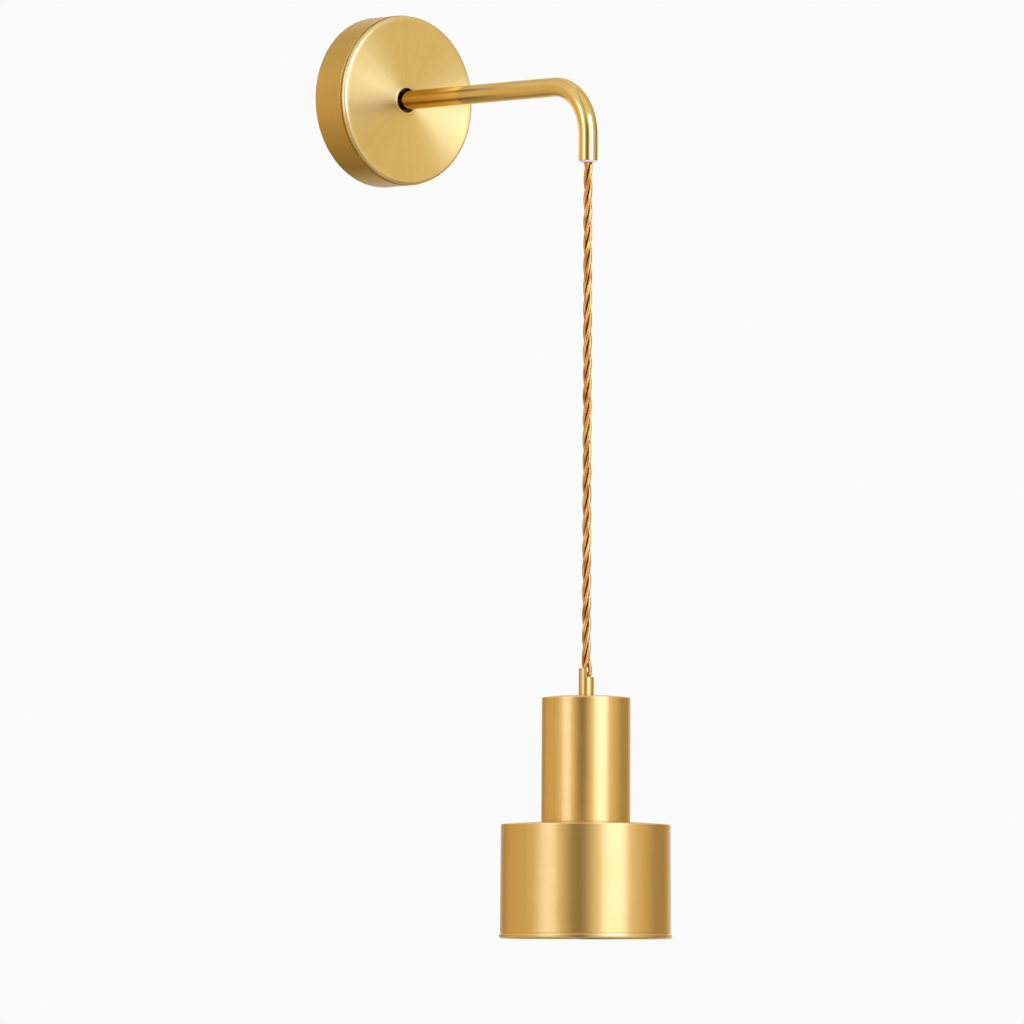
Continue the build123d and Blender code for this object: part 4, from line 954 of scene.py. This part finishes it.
pale_floor, tree = start_material("pale_floor")
end_material(tree, add(tree, "ShaderNodeBsdfPrincipled", {
    "Base Color": colour("#F4EFE4"), "Roughness": 0.7,
}))
floor_reach, floor_height = 9.0, -1.9
floor_mesh = bpy.data.meshes.new("floor")
floor_mesh.from_pydata([
    (-floor_reach, -floor_reach, floor_height), (floor_reach, -floor_reach, floor_height),
    (floor_reach, floor_reach, floor_height), (-floor_reach, floor_reach, floor_height),
], [], [(0, 1, 2, 3)])
floor_mesh.materials.append(pale_floor)
floor = bpy.data.objects.new("floor", floor_mesh)
bpy.context.scene.collection.objects.link(floor)
floor.visible_glossy = False

world = bpy.data.worlds.new("studio")
bpy.context.scene.world = world
world.use_nodes = True
tree = world.node_tree
tree.nodes.clear()
ray = add(tree, "ShaderNodeTexCoord").outputs["Generated"]
# Bearings count from the camera's direction, to the right as the camera sees it.
zero_bearing = radians(130.93)
turned_ray = add(tree, "ShaderNodeVectorRotate", {
    "Vector": ray, "Angle": zero_bearing,
}, rotation_type="Z_AXIS")
parts = add(tree, "ShaderNodeSeparateXYZ", {0: turned_ray.outputs[0]})
bearing = add(tree, "ShaderNodeMath", {
    0: parts.outputs["Y"], 1: parts.outputs["X"],
}, operation="ARCTAN2")
share = add(tree, "ShaderNodeMath", {
    0: bearing.outputs[0], 1: 1 / (2 * pi), 2: 0.5,
}, operation="MULTIPLY_ADD")
ramp = add(tree, "ShaderNodeValToRGB", {0: share.outputs[0]})
card, wall = (0.78, 0.76, 0.70), (0.70, 0.54, 0.31)
glow, shadow, flag = (0.88, 0.77, 0.58), (0.42, 0.33, 0.22), (0.20, 0.12, 0.065)
ceiling = (0.82, 0.80, 0.72, 1.0)
stops = [
    (-180, card), (-168, card), (-148, shadow), (-122, wall), (-90, wall), (-72, glow),
    (-36, glow), (-16, flag), (-4, flag), (12, glow), (72, glow), (90, wall), (108, shadow),
    (140, shadow), (154, card), (180, card),
]
elements = ramp.color_ramp.elements
while len(elements) > 1:
    elements.remove(elements[-1])
elements[0].position = 0.0
elements[0].color = (*stops[0][1], 1.0)
for degrees, (r, g, b) in stops[1:]:
    elements.new((degrees + 180) / 360).color = (r, g, b, 1.0)
# The room is darker towards its floor, and its ceiling is a light, nearly neutral grey.
level = add(tree, "ShaderNodeMapRange", {
    "Value": parts.outputs["Z"], "From Min": -0.95, "From Max": -0.15, "To Min": 0.6,
}, interpolation_type="SMOOTHSTEP")
walls = add(tree, "ShaderNodeVectorMath", {
    0: ramp.outputs[0], "Scale": level.outputs["Result"],
}, operation="SCALE")
higher = add(tree, "ShaderNodeMapRange", {
    "Value": parts.outputs["Z"], "From Min": 0.15, "From Max": 0.55, "To Max": 0.55,
}, interpolation_type="SMOOTHSTEP")
round_room = add(tree, "ShaderNodeMix", {
    0: higher.outputs["Result"], 6: walls.outputs[0], 7: ceiling,
}, data_type="RGBA")
# The backdrop that the photograph shows is plain white.
seen = add(tree, "ShaderNodeLightPath")
sky = add(tree, "ShaderNodeMix", {
    0: seen.outputs["Is Camera Ray"], 6: round_room.outputs[2], 7: colour("#FBFBFB"),
}, data_type="RGBA")
background = add(tree, "ShaderNodeBackground", {"Color": sky.outputs[2], "Strength": 1.0})
add(tree, "ShaderNodeOutputWorld", {"Surface": background.outputs[0]})
bpy.context.scene.view_settings.view_transform = "Standard"
